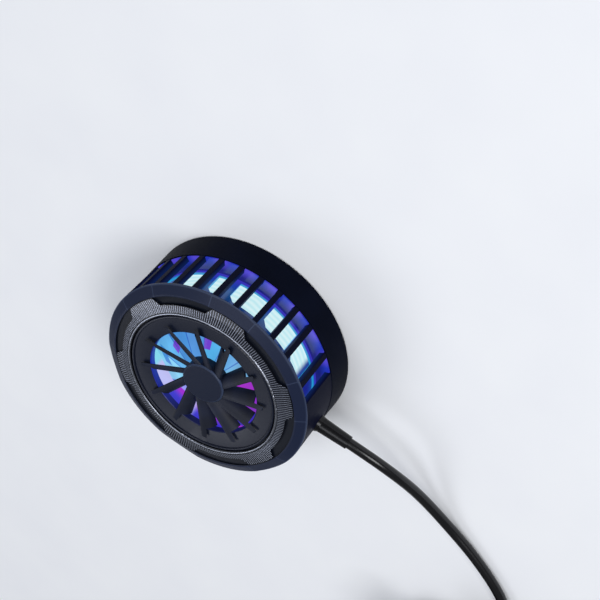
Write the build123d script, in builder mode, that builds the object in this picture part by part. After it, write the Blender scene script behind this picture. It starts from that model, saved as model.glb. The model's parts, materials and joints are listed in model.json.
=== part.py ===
from build123d import *
from math import acos, atan2, cos, degrees, hypot, pi, radians, sin, sqrt, tan
import os

os.makedirs("parts", exist_ok=True)

# A magnetic cooling fan for the back of a phone.  The origin is the centre of the flat
# face that lies on the phone, +Z runs along the fan's axis, and the cord leaves along +X.

# Clearances and shared small sizes
fit_gap = 0.03
slide_gap = 0.15
run_gap = 0.35
overrun = 1.0
edge_round = 0.4

# Base and cold side
base_radius = 28.8
wall_draft = 0.3
wall_top = 8.4
housing_wall = 1.5
floor_thick = 0.8
lip_width = 1.0
lip_lift = 0.1
pad_thick = 0.6
pad_overlap = 1.2
magnet_step = 0.75
cold_flange = 1.2
cold_flange_thick = 0.6
rib_thick = 0.9
magnet_play = 0.2
magnet_width = 3.8
magnet_thick = 1.7
magnet_count = 18
magnet_split = 0.3
shield_thick = 0.4

# Thermoelectric module
module_inset = 7.5
ceramic_thick = 0.7
pellet_side = 1.4
pellet_height = 1.4
pellet_margin = 1.65
pellet_rows = 8
foam_clearance = 0.3

# Heat sink
sink_base_thick = 1.8
sink_boss_radius = 5.6
sink_boss_top = 15.2
fin_count = 24
fin_thick = 0.7
fin_inset = 1.1
fin_inner_radius = 7.6
ear_inset = 2.3
ear_width = 4.4
ear_thick = 1.2
ear_count = 4
sink_screw_shank = 1.6
sink_screw_head = 2.8
sink_screw_head_height = 0.8
sink_screw_length = 2.6

# Boards and lamps
led_board_thick = 0.8
led_board_overlap = 0.8
led_board_inset = 1.5
led_side = 2.0
led_height = 0.6
led_count = 24
led_inset = 1.4
control_width = 11.0
control_height = 10.0
control_thick = 0.8
control_foot = 9.4
chip_side = 3.4
chip_thick = 0.5

# Lit deck, cage, panels and deflector
deck_thick = 0.4
deck_reach = 1.7
cage_inset = 2.6
cage_wall = 0.8
cage_bar_width = 1.5
cage_top = 17.2
window_bars = (10, 32, 53.5, 77.5, 101, 115.5, 136.5, 158.5, 181, 203.5, 226, 248.5, 271, 293.5, 316, 338.5)
window_sill = 0.7
window_head = 0.9
window_corner = 1.5
panel_wall = 0.7
deflector_sides = 12
deflector_top_radius = 6.9
deflector_top = 19.4
deflector_inset = 0.7
deflector_rim_height = 11.6
deflector_wall = 0.9
collar_bore = 6.15
vent_length = 5.4
vent_inset = 4.2
vent_width = 4.2

# Slotted band
band_step = 0.1
band_wall = 1.6
band_top = 20.9
slot_pitch = 11.25
bar_width = 1.45
side_bar_angle = 39.4
solid_half_angle = 28.6
first_bar_angle = 56.25
spigot_width = 1.1
spigot_height = 1.0
hoop_height = 0.6
tooth_inset = 0.25

# Front
bezel_edge_height = 0.4
bezel_rim_inset = 0.8
bezel_rim_top = 22.5
bezel_rim_width = 0.5
bezel_floor = 22.0
plate_seat = 2.7
flat_half_angle = 13.5
flat_depth = 0.6
rib_run = 1.9
rib_inset = 2.7
rib_inner_top = 23.2
rib_outer_top = 22.7
lobe_inset = 0.65
lobe_top = 22.5
lobe_count = 6
lobe_first_angle = 30.0
lobe_root_half_angle = 14.0
lobe_tip_half_angle = 10.0
trim_width = 0.7
trim_top = 23.35
plate_inset = 1.1
plate_lip_width = 0.7
plate_lip_top = 23.1
plate_edge_top = 22.7
throat_seat = 2.5
throat_top = 22.3
throat_depth = 1.7
throat_wall = 0.8

# Rotor
blade_count = 12
hub_radius = 5.8
hub_wall = 0.6
hub_bottom = 17.4
hub_top = 21.9
hub_roof = 0.8
cap_thick = 0.6
cap_chamfer = 0.3
blade_tangent_radius = 3.4
blade_first_angle = -0.8
blade_reach = 2.4
blade_root_top = 22.1
blade_lip_height = 0.25
blade_root_chord = 3.5
blade_tip_chord = 4.5
blade_pitch_angle = 50.0
blade_root_thick = 0.95
blade_tip_thick = 0.5
blade_root_edge = 0.4
blade_tip_edge = 0.16
blade_camber = 0.45
blade_gap = 0.45
blade_plate_gap = 0.5
blade_nose = 0.35
shaft_radius = 0.75
yoke_wall = 0.35
magnet_ring_wall = 0.7
rotor_magnet_height = 2.6

# Motor
tube_radius = 2.0
tube_bore = 1.53
tube_top = 20.3
tube_floor = 0.3
flange_radius = 5.0
flange_thick = 0.6
motor_step_radius = 2.6
motor_board_radius = 5.1
motor_board_thick = 0.6
motor_screw_ring = 3.9
motor_screw_head = 1.6
motor_screw_shank = 0.8
motor_screw_length = 1.6
motor_screw_count = 3
core_radius = 3.8
core_hub_radius = 2.5
core_thick = 1.8
core_bottom = 17.9
pole_count = 6
tooth_width = 0.7
shoe_depth = 0.4
shoe_half_angle = 22.0
coil_thick = 0.3
thrust_thick = 0.2
ring_thick = 0.12
ring_radius = 1.3
clip_gap = 0.04

# Cord, relief, coil, tie and plug
cord_diameter = 2.8
exit_height = 12.3
relief_flange_radius = 3.0
relief_flange_thick = 0.5
relief_collar_radius = 2.35
relief_collar_length = 0.9
relief_root_radius = 2.0
relief_tip_radius = 1.75
relief_length = 9.0
coil_mean_radius = 15.0
coil_pitch = 3.9
coil_layer_pitch = 3.4
coil_floor = 1.0
coil_half_turns = (4, 5, 5, 5)
coil_heading = -48.0
coil_centre_x = 95.5
coil_centre_y = -62.0
coil_lead_in = 13.0
tail_turn_radius = 12.6
tail_climb_shares = (0, 0.17, 0.38, 0.62, 0.83, 1)
tie_thick = 0.8
tie_width = 5.0
tie_gap = 0.2
plug_gap = 0.3
plug_length = 18.0
plug_width = 11.0
plug_height = 6.2
plug_corner = 2.2
plug_shell_length = 6.65
plug_shell_width = 8.34
plug_shell_height = 2.56
plug_shell_wall = 0.3
plug_tongue_width = 6.2
plug_tongue_thick = 0.7
plug_tongue_inset = 0.6
plug_neck_length = 5.0
plug_neck_radius = 2.3

# Radii worked out from the base inwards
wall_top_radius = base_radius - wall_draft
housing_bore = wall_top_radius - housing_wall
magnet_inner_radius = housing_bore - magnet_play - magnet_width
cold_radius = magnet_inner_radius - magnet_step - rib_thick - slide_gap - cold_flange
pad_inner_radius = cold_radius + pad_overlap
ceramic_side = 2 * (cold_radius - module_inset)
pellet_pitch = (ceramic_side - 2 * pellet_margin - pellet_side) / (pellet_rows - 1)
sink_radius = magnet_inner_radius - magnet_step + slide_gap
fin_outer_radius = sink_radius - fin_inset
ear_radius = housing_bore - ear_inset
led_board_outer_radius = housing_bore - led_board_inset
led_ring_radius = led_board_outer_radius - led_inset
band_radius = wall_top_radius - band_step
band_inner_radius = band_radius - band_wall
cage_radius = band_inner_radius - cage_inset
deck_inner_radius = cage_radius - deck_reach
deflector_rim_radius = cage_radius - cage_wall - panel_wall - deflector_inset
vent_outer_radius = deflector_rim_radius - vent_inset
vent_inner_radius = vent_outer_radius - vent_length
bezel_rim_radius = band_inner_radius - bezel_rim_inset
lobe_radius = bezel_rim_radius - lobe_inset
rib_outer_radius = bezel_rim_radius - rib_inset
rib_inner_radius = rib_outer_radius - rib_run
plate_radius = rib_inner_radius - plate_inset
bezel_inner_radius = plate_radius - plate_seat
throat_radius = bezel_inner_radius - throat_seat
blade_tip_radius = throat_radius + blade_reach
blade_clear_radius = throat_radius - blade_gap

# Heights worked out from the stack
floor_top = pad_thick + floor_thick
cold_top = floor_top + cold_flange_thick
sink_bottom = cold_top + 2 * ceramic_thick + pellet_height
sink_top = sink_bottom + sink_base_thick
board_top = sink_top + led_board_thick
deck_top = wall_top + deck_thick
shield_bottom = floor_top + magnet_thick + fit_gap
shield_top = shield_bottom + shield_thick
blade_shoulder = throat_top + blade_plate_gap
blade_under_tip = plate_edge_top + blade_plate_gap
blade_tip_top = blade_under_tip + blade_lip_height
deflector_slope = (deflector_top - deflector_rim_height) / (deflector_rim_radius - deflector_top_radius)
facet_share = cos(pi / deflector_sides)
cord_radius = cord_diameter / 2


def save(part, name):
    part.label = name
    export_step(part, f"parts/{name}.step")


def ring_sketch(outer, inner):
    """A flat ring, drawn in the sketch that is open."""
    Circle(outer)
    Circle(inner, mode=Mode.SUBTRACT)


def radial_plane(angle, reach=0.0, height=0.0, lean=0.0):
    """A plane that faces outwards at an angle round the axis, tipped up by its lean."""
    turn, tip = radians(angle), radians(lean)
    return Plane(
        origin=(reach * cos(turn), reach * sin(turn), height),
        x_dir=(-sin(turn), cos(turn), 0),
        z_dir=(cos(turn) * cos(tip), sin(turn) * cos(tip), sin(tip)),
    )


def ring_part(outer, inner, bottom, top):
    """A plain ring between two heights."""
    with BuildPart() as ring:
        with BuildSketch(Plane.XY.offset(bottom)):
            ring_sketch(outer, inner)
        extrude(amount=top - bottom)
    return ring.part


# Silicone pad that grips the phone
with BuildPart() as contact_pad:
    with BuildSketch():
        ring_sketch(base_radius - lip_width - slide_gap, pad_inner_radius)
    extrude(amount=pad_thick)
    fillet(contact_pad.edges().filter_by(GeomType.CIRCLE).group_by(Axis.Z)[0], edge_round / 2)
save(contact_pad.part, "contact_pad")

# Cold plate: a disc that shows through the pad, trapped by its flange
with BuildPart() as cold_plate:
    with BuildSketch():
        Circle(cold_radius)
    extrude(amount=floor_top)
    with BuildSketch(Plane.XY.offset(floor_top)):
        Circle(cold_radius + cold_flange)
    extrude(amount=cold_flange_thick)
    chamfer(cold_plate.edges().group_by(Axis.Z)[0], edge_round / 2)
save(cold_plate.part, "cold_plate")

# Rear housing: a cup with a lip round the pad, a rib round the cold side and screw bosses
rib_inner = cold_radius + cold_flange + slide_gap
boss_top = sink_top - ear_thick
with BuildPart() as rear_housing:
    with BuildSketch(Plane.XZ):
        with BuildLine():
            Polyline(
                (cold_radius + slide_gap, pad_thick),
                (base_radius - lip_width, pad_thick),
                (base_radius - lip_width, lip_lift),
                (base_radius, lip_lift),
                (wall_top_radius, wall_top),
                (housing_bore, wall_top),
                (housing_bore, floor_top),
                (rib_inner + rib_thick, floor_top),
                (rib_inner + rib_thick, sink_bottom),
                (rib_inner, sink_bottom),
                (rib_inner, floor_top),
                (cold_radius + slide_gap, floor_top),
                close=True,
            )
        make_face()
    revolve(axis=Axis.Z)
    fillet(rear_housing.edges().filter_by(GeomType.CIRCLE).group_by(SortBy.RADIUS)[-1], edge_round)
    with BuildSketch(Plane.XY.offset(shield_top + slide_gap)):
        with PolarLocations(ear_radius, ear_count, start_angle=45):
            with Locations((ear_width / 4, 0)):
                Rectangle(ear_width, ear_width)
        Circle(housing_bore + housing_wall / 2, mode=Mode.INTERSECT)
    extrude(amount=boss_top - shield_top - slide_gap)
    with BuildSketch(Plane.XY.offset(boss_top)):
        with PolarLocations(ear_radius, ear_count, start_angle=45):
            Circle(sink_screw_shank / 2 + fit_gap)
    extrude(amount=shield_top + slide_gap - boss_top - overrun, mode=Mode.SUBTRACT)
save(rear_housing.part, "rear_housing")

# Magnets in a ring, one block beside the next, and the steel ring that backs them
magnet_outer_radius = magnet_inner_radius + magnet_width
with BuildPart() as magnets:
    with BuildSketch(Plane.XY.offset(floor_top)):
        ring_sketch(magnet_outer_radius, magnet_inner_radius)
        with PolarLocations((magnet_inner_radius + magnet_outer_radius) / 2, magnet_count):
            Rectangle(magnet_width + overrun, magnet_split, mode=Mode.SUBTRACT)
    extrude(amount=magnet_thick)
save(magnets.part, "magnets")

shield = ring_part(magnet_outer_radius, magnet_inner_radius, shield_bottom, shield_top)
save(shield, "magnet_shield")

# Thermoelectric module: two ceramic plates with the pellets between them
for plate_name, plate_bottom in (
    ("cold_ceramic", cold_top),
    ("hot_ceramic", cold_top + ceramic_thick + pellet_height),
):
    with BuildPart() as ceramic:
        with BuildSketch(Plane.XY.offset(plate_bottom)):
            Rectangle(ceramic_side, ceramic_side)
        extrude(amount=ceramic_thick)
    save(ceramic.part, plate_name)

with BuildPart() as pellets:
    with BuildSketch(Plane.XY.offset(cold_top + ceramic_thick)):
        with GridLocations(pellet_pitch, pellet_pitch, pellet_rows, pellet_rows):
            Rectangle(pellet_side, pellet_side)
    extrude(amount=pellet_height)
save(pellets.part, "thermoelectric_pellets")

with BuildPart() as insulation_foam:
    with BuildSketch(Plane.XY.offset(cold_top)):
        Circle(rib_inner - slide_gap)
        foam_window = ceramic_side + 2 * foam_clearance
        Rectangle(foam_window, foam_window, mode=Mode.SUBTRACT)
    extrude(amount=sink_bottom - cold_top)
save(insulation_foam.part, "insulation_foam")


def fin_top(reach):
    """The height of a fin under the deflector, at a distance from the axis."""
    under = deflector_top - deflector_slope * (reach / facet_share - deflector_top_radius)
    return under - deflector_wall * sqrt(1 + deflector_slope**2) - run_gap


# Heat sink: a base with ears, a tall boss for the motor, and fins that slope outwards
with BuildPart() as heatsink:
    with BuildSketch(Plane.XY.offset(sink_bottom)):
        Circle(sink_radius)
    extrude(amount=sink_base_thick)
    with BuildSketch(Plane.XY.offset(boss_top)):
        with PolarLocations(ear_radius, ear_count, start_angle=45):
            Circle(ear_width / 2 - slide_gap)
            with Locations((-ear_width / 2, 0)):
                Rectangle(ear_width, ear_width - 2 * slide_gap)
    extrude(amount=ear_thick)
    with BuildSketch(Plane.XY.offset(sink_top)):
        Circle(sink_boss_radius)
    extrude(amount=sink_boss_top - sink_top)
    with BuildPart(mode=Mode.PRIVATE) as fin:
        with BuildSketch(Plane.XZ):
            with BuildLine():
                Polyline(
                    (sink_boss_radius - fin_thick, sink_top - fin_thick),
                    (fin_outer_radius, sink_top - fin_thick),
                    (fin_outer_radius, fin_top(fin_outer_radius)),
                    (fin_inner_radius, fin_top(fin_inner_radius)),
                    (fin_inner_radius, sink_boss_top - fin_thick),
                    (sink_boss_radius - fin_thick, sink_boss_top - fin_thick),
                    close=True,
                )
            make_face()
        extrude(amount=fin_thick / 2, both=True)
    with PolarLocations(0, fin_count, start_angle=180 / fin_count):
        add(fin.part)
    with BuildSketch(Plane.XY.offset(sink_top)):
        with PolarLocations(ear_radius, ear_count, start_angle=45):
            Circle(sink_screw_shank / 2 + slide_gap)
    extrude(amount=-ear_thick - overrun, mode=Mode.SUBTRACT)
save(heatsink.part, "heatsink")

# Screws that hold the heat sink down
with BuildPart() as sink_screws:
    with BuildSketch(Plane.XY.offset(sink_top)):
        with PolarLocations(ear_radius, ear_count, start_angle=45):
            Circle(sink_screw_head / 2)
    extrude(amount=sink_screw_head_height)
    with BuildSketch(Plane.XY.offset(sink_top)):
        with PolarLocations(ear_radius, ear_count, start_angle=45):
            Circle(sink_screw_shank / 2)
    extrude(amount=-sink_screw_length)
save(sink_screws.part, "heatsink_screws")

# Lamp board: a ring on the heat sink's edge, notched round the screws
with BuildPart() as lamp_board:
    with BuildSketch(Plane.XY.offset(sink_top)):
        ring_sketch(led_board_outer_radius, sink_radius - led_board_overlap)
        with PolarLocations(ear_radius, ear_count, start_angle=45):
            Circle(sink_screw_head / 2 + slide_gap, mode=Mode.SUBTRACT)
    extrude(amount=led_board_thick)
save(lamp_board.part, "lamp_board")

with BuildPart() as lamps:
    with BuildSketch(Plane.XY.offset(board_top)):
        with PolarLocations(led_ring_radius, led_count, start_angle=180 / led_count):
            Rectangle(led_side, led_side)
    extrude(amount=led_height)
save(lamps.part, "lamps")

# Lit deck: a ring on the housing's edge, with a tooth in the foot of each slot
even_bars = int((360 - 2 * first_bar_angle) / slot_pitch) + 1
even_angles = [first_bar_angle + slot_pitch * step for step in range(even_bars)]
bar_angles = [side_bar_angle] + even_angles + [360 - side_bar_angle]
slot_edges = [solid_half_angle] + bar_angles + [360 - solid_half_angle]
bar_half_angle = degrees(bar_width / 2 / band_radius)


def slot_span(low, high):
    """The angles at which the slot between two neighbouring bars starts and ends."""
    start = low if low == solid_half_angle else low + bar_half_angle
    end = high if high == 360 - solid_half_angle else high - bar_half_angle
    return start, end


def sector(outer, start, end):
    """A pie slice from the axis, between two angles."""
    first, middle, last = (
        (outer * cos(radians(angle)), outer * sin(radians(angle)))
        for angle in (start, (start + end) / 2, end)
    )
    with BuildSketch() as slice_sketch:
        with BuildLine():
            Line((0, 0), first)
            ThreePointArc(first, middle, last)
            Line(last, (0, 0))
        make_face()
    return slice_sketch.sketch


tooth_margin = degrees(slide_gap / band_radius)
with BuildPart() as light_deck:
    with BuildSketch(Plane.XY.offset(wall_top)):
        for low, high in zip(slot_edges, slot_edges[1:]):
            start, end = slot_span(low, high)
            add(sector(band_radius - tooth_inset, start + tooth_margin, end - tooth_margin))
        Circle(band_inner_radius - slide_gap)
        Circle(deck_inner_radius, mode=Mode.SUBTRACT)
    extrude(amount=deck_thick)
save(light_deck.part, "light_deck")

# Light cage: a ring of windows, each with one cut corner, out of step with the slots
with BuildPart() as light_cage:
    with BuildSketch(Plane.XY.offset(deck_top)):
        ring_sketch(cage_radius, cage_radius - cage_wall)
    extrude(amount=cage_top - deck_top)
    for low, high in zip(window_bars, window_bars[1:] + (window_bars[0] + 360,)):
        half_angle = radians(high - low) / 2
        half_width = cage_radius * sin(half_angle) - cage_bar_width / 2
        sill = deck_top + window_sill
        head = cage_top - window_head
        with BuildSketch(radial_plane((low + high) / 2)):
            with BuildLine():
                Polyline(
                    (-half_width, sill),
                    (half_width, sill),
                    (half_width, head - window_corner),
                    (half_width - window_corner, head),
                    (-half_width, head),
                    close=True,
                )
            make_face()
        extrude(amount=cage_radius + overrun, mode=Mode.SUBTRACT)
save(light_cage.part, "light_cage")

panel_outer = cage_radius - cage_wall - slide_gap
panel = ring_part(panel_outer, panel_outer - panel_wall, deck_top, cage_top - window_head / 2)
save(panel, "light_panels")

# Deflector: a twelve-sided cone over the fins, with a collar round the motor and vents
with BuildPart() as deflector:
    with BuildSketch(Plane.XY.offset(deflector_rim_height)):
        RegularPolygon(deflector_rim_radius, deflector_sides)
    with BuildSketch(Plane.XY.offset(deflector_top)):
        RegularPolygon(deflector_top_radius, deflector_sides)
    loft(ruled=True)
    drop = deflector_wall * sqrt(1 + deflector_slope**2)
    with BuildSketch(Plane.XY.offset(deflector_rim_height - drop)):
        RegularPolygon(deflector_rim_radius, deflector_sides)
    with BuildSketch(Plane.XY.offset(deflector_top - drop)):
        RegularPolygon(deflector_top_radius, deflector_sides)
    loft(ruled=True, mode=Mode.SUBTRACT)
    with BuildSketch(Plane.XY.offset(deflector_top - drop - overrun)):
        Circle(deflector_top_radius * facet_share)
    extrude(amount=drop + overrun)
    with BuildSketch(Plane.XY.offset(deflector_rim_height - overrun)):
        Circle(collar_bore)
    extrude(amount=deflector_top - deflector_rim_height + 2 * overrun, mode=Mode.SUBTRACT)
    with BuildSketch(Plane.XY.offset(deflector_rim_height)):
        with PolarLocations(0, deflector_sides, start_angle=180 / deflector_sides):
            with BuildLine():
                Polyline(
                    (vent_inner_radius, 0),
                    (vent_outer_radius, vent_width / 2),
                    (vent_outer_radius, -vent_width / 2),
                    close=True,
                )
            make_face()
    extrude(amount=deflector_top - deflector_rim_height, mode=Mode.SUBTRACT)
save(deflector.part, "light_deflector")

# Slotted band: bars between a spigot in the housing and a hoop under the bezel
with BuildPart() as slotted_band:
    with BuildSketch(Plane.XY.offset(wall_top)):
        ring_sketch(band_radius, band_inner_radius)
        for low, high in zip(slot_edges, slot_edges[1:]):
            start, end = slot_span(low, high)
            add(sector(band_radius + overrun, start, end), mode=Mode.SUBTRACT)
    extrude(amount=band_top - wall_top)
    with BuildSketch(Plane.XY.offset(wall_top)):
        ring_sketch(housing_bore - slide_gap, housing_bore - slide_gap - spigot_width)
    extrude(amount=-spigot_height)
    with BuildSketch(Plane.XY.offset(band_top)):
        ring_sketch(band_inner_radius + hoop_height, band_inner_radius - spigot_width)
    extrude(amount=-hoop_height)
    with BuildSketch(radial_plane(0, 0, exit_height)):
        Circle(relief_root_radius + slide_gap)
    extrude(amount=band_radius + overrun, mode=Mode.SUBTRACT)
save(slotted_band.part, "slotted_band")

# Relief: a flange inside the wall, a low collar outside it and a smooth taper
wall_inner_reach = sqrt(band_inner_radius**2 - relief_flange_radius**2)
flange_reach = wall_inner_reach - fit_gap - relief_flange_thick
collar_reach = band_radius + fit_gap
with BuildPart() as strain_relief:
    with BuildSketch(Plane.XZ):
        with BuildLine():
            Polyline(
                (flange_reach, exit_height),
                (flange_reach, exit_height + relief_flange_radius),
                (flange_reach + relief_flange_thick, exit_height + relief_flange_radius),
                (flange_reach + relief_flange_thick, exit_height + relief_root_radius),
                (collar_reach, exit_height + relief_root_radius),
                (collar_reach, exit_height + relief_collar_radius),
                (collar_reach + relief_collar_length, exit_height + relief_root_radius),
                (collar_reach + relief_length, exit_height + relief_tip_radius),
                (collar_reach + relief_length, exit_height),
                close=True,
            )
        make_face()
    relief_axis = Axis((0, 0, exit_height), (1, 0, 0))
    revolve(axis=relief_axis)
    with BuildSketch(radial_plane(0, flange_reach - overrun, exit_height)):
        Circle(cord_radius + fit_gap)
    extrude(amount=relief_length + band_radius, mode=Mode.SUBTRACT)
save(strain_relief.part, "strain_relief")

# Control board: upright behind the solid stretch of the band, where the cord's leads end
control_outer_reach = flange_reach - fit_gap
with BuildPart() as control_board:
    with BuildSketch(radial_plane(0, control_outer_reach - control_thick, control_foot + control_height / 2)):
        Rectangle(control_width, control_height)
    extrude(amount=control_thick)
save(control_board.part, "control_board")

with BuildPart() as board_chips:
    chip_reach = control_outer_reach - control_thick
    with BuildSketch(radial_plane(0, chip_reach, control_foot + control_height / 2)):
        with GridLocations(chip_side * 1.4, chip_side * 1.3, 2, 2):
            Rectangle(chip_side, chip_side * 0.8)
    extrude(amount=-chip_thick)
save(board_chips.part, "board_chips")

# Front bezel: a sloping ring with a raised rim, cut flat on six sides
with BuildPart() as front_bezel:
    with BuildSketch(Plane.XZ):
        with BuildLine():
            Polyline(
                (bezel_inner_radius, band_top),
                (band_radius, band_top),
                (band_radius, band_top + bezel_edge_height),
                (bezel_rim_radius, bezel_rim_top),
                (bezel_rim_radius - bezel_rim_width, bezel_rim_top),
                (bezel_rim_radius - bezel_rim_width, bezel_floor),
                (bezel_inner_radius, bezel_floor),
                close=True,
            )
        make_face()
    revolve(axis=Axis.Z)
    flat_width = 2 * band_radius * sin(radians(flat_half_angle))
    slope_run = band_radius - bezel_rim_radius
    slope_rise = bezel_rim_top - band_top - bezel_edge_height
    flat_length = hypot(slope_run, slope_rise) + 2 * overrun
    flat_lean = degrees(atan2(slope_run, slope_rise))
    for step in range(lobe_count):
        flat_plane = radial_plane(
            lobe_first_angle + step * 360 / lobe_count,
            (band_radius + bezel_rim_radius) / 2 - flat_depth,
            (band_top + bezel_edge_height + bezel_rim_top) / 2,
            flat_lean,
        )
        with BuildSketch(flat_plane):
            Rectangle(flat_width, flat_length)
        extrude(amount=flat_depth + overrun, mode=Mode.SUBTRACT)
save(front_bezel.part, "front_bezel")


def lobed_face(narrow, wide):
    """A disc whose edge steps out to six lobes with slanted ends."""

    def place(reach, angle):
        return (reach * cos(radians(angle)), reach * sin(radians(angle)))

    with BuildSketch() as disc:
        with BuildLine():
            for step in range(lobe_count):
                middle = lobe_first_angle + step * 360 / lobe_count
                following = middle + 360 / lobe_count
                root_in, tip_in = middle - lobe_root_half_angle, middle - lobe_tip_half_angle
                tip_out, root_out = middle + lobe_tip_half_angle, middle + lobe_root_half_angle
                Line(place(narrow, root_in), place(wide, tip_in))
                ThreePointArc(place(wide, tip_in), place(wide, middle), place(wide, tip_out))
                Line(place(wide, tip_out), place(narrow, root_out))
                ThreePointArc(
                    place(narrow, root_out),
                    place(narrow, (root_out + following - lobe_root_half_angle) / 2),
                    place(narrow, following - lobe_root_half_angle),
                )
        make_face()
    return disc.sketch


# Ribbed ring: slopes outwards under its six lobes (the fine ribs lie on this face)
with BuildPart() as ribbed_ring:
    with BuildSketch(Plane.XY.offset(bezel_floor)):
        add(lobed_face(rib_outer_radius, lobe_radius))
        Circle(rib_inner_radius, mode=Mode.SUBTRACT)
    extrude(amount=rib_inner_top - bezel_floor)
    with BuildSketch(Plane.XZ):
        with BuildLine():
            Polyline(
                (rib_inner_radius, bezel_floor - overrun),
                (rib_inner_radius, rib_inner_top),
                (rib_outer_radius, rib_outer_top),
                (lobe_radius, lobe_top),
                (lobe_radius + overrun, lobe_top),
                (lobe_radius + overrun, bezel_floor - overrun),
                close=True,
            )
        make_face()
    revolve(axis=Axis.Z, mode=Mode.INTERSECT)
save(ribbed_ring.part, "ribbed_ring")

# Bright trim ring with a rounded top
trim_outer_radius = rib_inner_radius - fit_gap
with BuildPart() as trim_ring:
    with BuildSketch(Plane.XY.offset(bezel_floor)):
        ring_sketch(trim_outer_radius, trim_outer_radius - trim_width)
    extrude(amount=trim_top - bezel_floor)
    fillet(trim_ring.edges().filter_by(GeomType.CIRCLE).group_by(Axis.Z)[-1], trim_width * 0.45)
save(trim_ring.part, "trim_ring")

# Front plate: a lip, a dished face and the throat that the blades turn over
with BuildPart() as front_plate:
    with BuildSketch(Plane.XZ):
        with BuildLine():
            Polyline(
                (throat_radius, throat_top - throat_depth),
                (throat_radius, throat_top),
                (plate_radius - plate_lip_width, plate_edge_top),
                (plate_radius - plate_lip_width, plate_lip_top),
                (plate_radius, plate_lip_top),
                (plate_radius, bezel_floor),
                (bezel_inner_radius - slide_gap, bezel_floor),
                (bezel_inner_radius - slide_gap, throat_top - throat_wall),
                (throat_radius + throat_wall, throat_top - throat_wall),
                (throat_radius + throat_wall, throat_top - throat_depth),
                close=True,
            )
        make_face()
    revolve(axis=Axis.Z)
    throat_edges = front_plate.edges().filter_by(GeomType.CIRCLE).group_by(SortBy.RADIUS)[0]
    fillet(throat_edges.sort_by(Axis.Z)[-1], edge_round)
    fillet(front_plate.edges().filter_by(GeomType.CIRCLE).group_by(Axis.Z)[-1], plate_lip_width * 0.4)
save(front_plate.part, "front_plate")

# Impeller blade: aerofoil sections along a straight line that misses the axis
blade_root_run = sqrt(hub_radius**2 - blade_tangent_radius**2)
blade_tip_run = sqrt(blade_tip_radius**2 - blade_tangent_radius**2)
blade_lean = radians(blade_pitch_angle)


def blade_section(share):
    """One section of the blade; share 0 is at the hub's face and 1 at the tip."""
    run = blade_root_run + (blade_tip_run - blade_root_run) * share
    chord = blade_root_chord + (blade_tip_chord - blade_root_chord) * share
    thick = blade_root_thick + (blade_tip_thick - blade_root_thick) * share
    edge = blade_root_edge + (blade_tip_edge - blade_root_edge) * share
    top = blade_root_top + (blade_tip_top - blade_root_top) * share
    down = (-sin(blade_lean), 0, -cos(blade_lean))
    middle = (blade_tangent_radius + down[0] * chord / 2, run, top + down[2] * chord / 2)
    with BuildSketch(Plane(origin=middle, x_dir=down, z_dir=(0, 1, 0))) as section:
        with BuildLine():
            ThreePointArc(
                (-chord / 2, edge / 2),
                (0, blade_camber + thick / 2),
                (chord / 2, edge / 2),
            )
            Line((chord / 2, edge / 2), (chord / 2, -edge / 2))
            ThreePointArc(
                (chord / 2, -edge / 2),
                (0, blade_camber - thick / 2),
                (-chord / 2, -edge / 2),
            )
            Line((-chord / 2, -edge / 2), (-chord / 2, edge / 2))
        make_face()
    return section.sketch


blade_over_share = overrun / (blade_tip_run - blade_root_run)
with BuildPart() as blade:
    add(blade_section(-blade_over_share))
    add(blade_section(1 + blade_over_share))
    loft(ruled=True)
    with BuildSketch(Plane.XZ):
        with BuildLine():
            Polyline(
                (hub_radius - hub_wall / 2, hub_bottom),
                (blade_clear_radius, hub_bottom),
                (blade_clear_radius, blade_shoulder),
                (blade_tip_radius, blade_under_tip),
                (blade_tip_radius - blade_nose, blade_tip_top),
                (hub_radius - hub_wall / 2, hub_top + hub_roof / 2),
                close=True,
            )
        make_face()
    revolve(axis=Axis.Z, mode=Mode.INTERSECT)

# Impeller: a cup over the motor with its twelve blades
with BuildPart() as impeller:
    with BuildSketch(Plane.XY.offset(hub_bottom)):
        Circle(hub_radius)
    extrude(amount=hub_top - hub_bottom)
    with PolarLocations(0, blade_count, start_angle=blade_first_angle):
        add(blade.part)
    with BuildSketch(Plane.XY.offset(hub_bottom - overrun)):
        Circle(hub_radius - hub_wall)
    extrude(amount=hub_top - hub_roof - hub_bottom + overrun, mode=Mode.SUBTRACT)
    with BuildSketch(Plane.XY.offset(hub_top)):
        Circle(hub_radius + fit_gap)
    extrude(amount=cap_thick + overrun, mode=Mode.SUBTRACT)
save(impeller.part, "impeller")

with BuildPart() as hub_cap:
    with BuildSketch(Plane.XY.offset(hub_top)):
        Circle(hub_radius)
    extrude(amount=cap_thick)
    chamfer(hub_cap.edges().group_by(Axis.Z)[-1], cap_chamfer)
save(hub_cap.part, "hub_cap")

# Steel yoke, ring magnet and shaft, which turn with the impeller
yoke_radius = hub_radius - hub_wall - fit_gap
yoke_top = hub_top - hub_roof - fit_gap
with BuildPart() as rotor_yoke:
    with BuildSketch(Plane.XY.offset(hub_bottom + yoke_wall)):
        Circle(yoke_radius)
    extrude(amount=yoke_top - hub_bottom - yoke_wall)
    with BuildSketch(Plane.XY.offset(hub_bottom)):
        Circle(yoke_radius - yoke_wall)
    extrude(amount=yoke_top - yoke_wall - hub_bottom, mode=Mode.SUBTRACT)
    with BuildSketch(Plane.XY.offset(yoke_top)):
        Circle(shaft_radius + fit_gap)
    extrude(amount=-yoke_wall - overrun, mode=Mode.SUBTRACT)
save(rotor_yoke.part, "rotor_yoke")

rotor_magnet_outer = yoke_radius - yoke_wall - fit_gap
rotor_magnet = ring_part(
    rotor_magnet_outer,
    rotor_magnet_outer - magnet_ring_wall,
    yoke_top - yoke_wall - fit_gap - rotor_magnet_height,
    yoke_top - yoke_wall - fit_gap,
)
save(rotor_magnet, "rotor_magnet")

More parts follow.
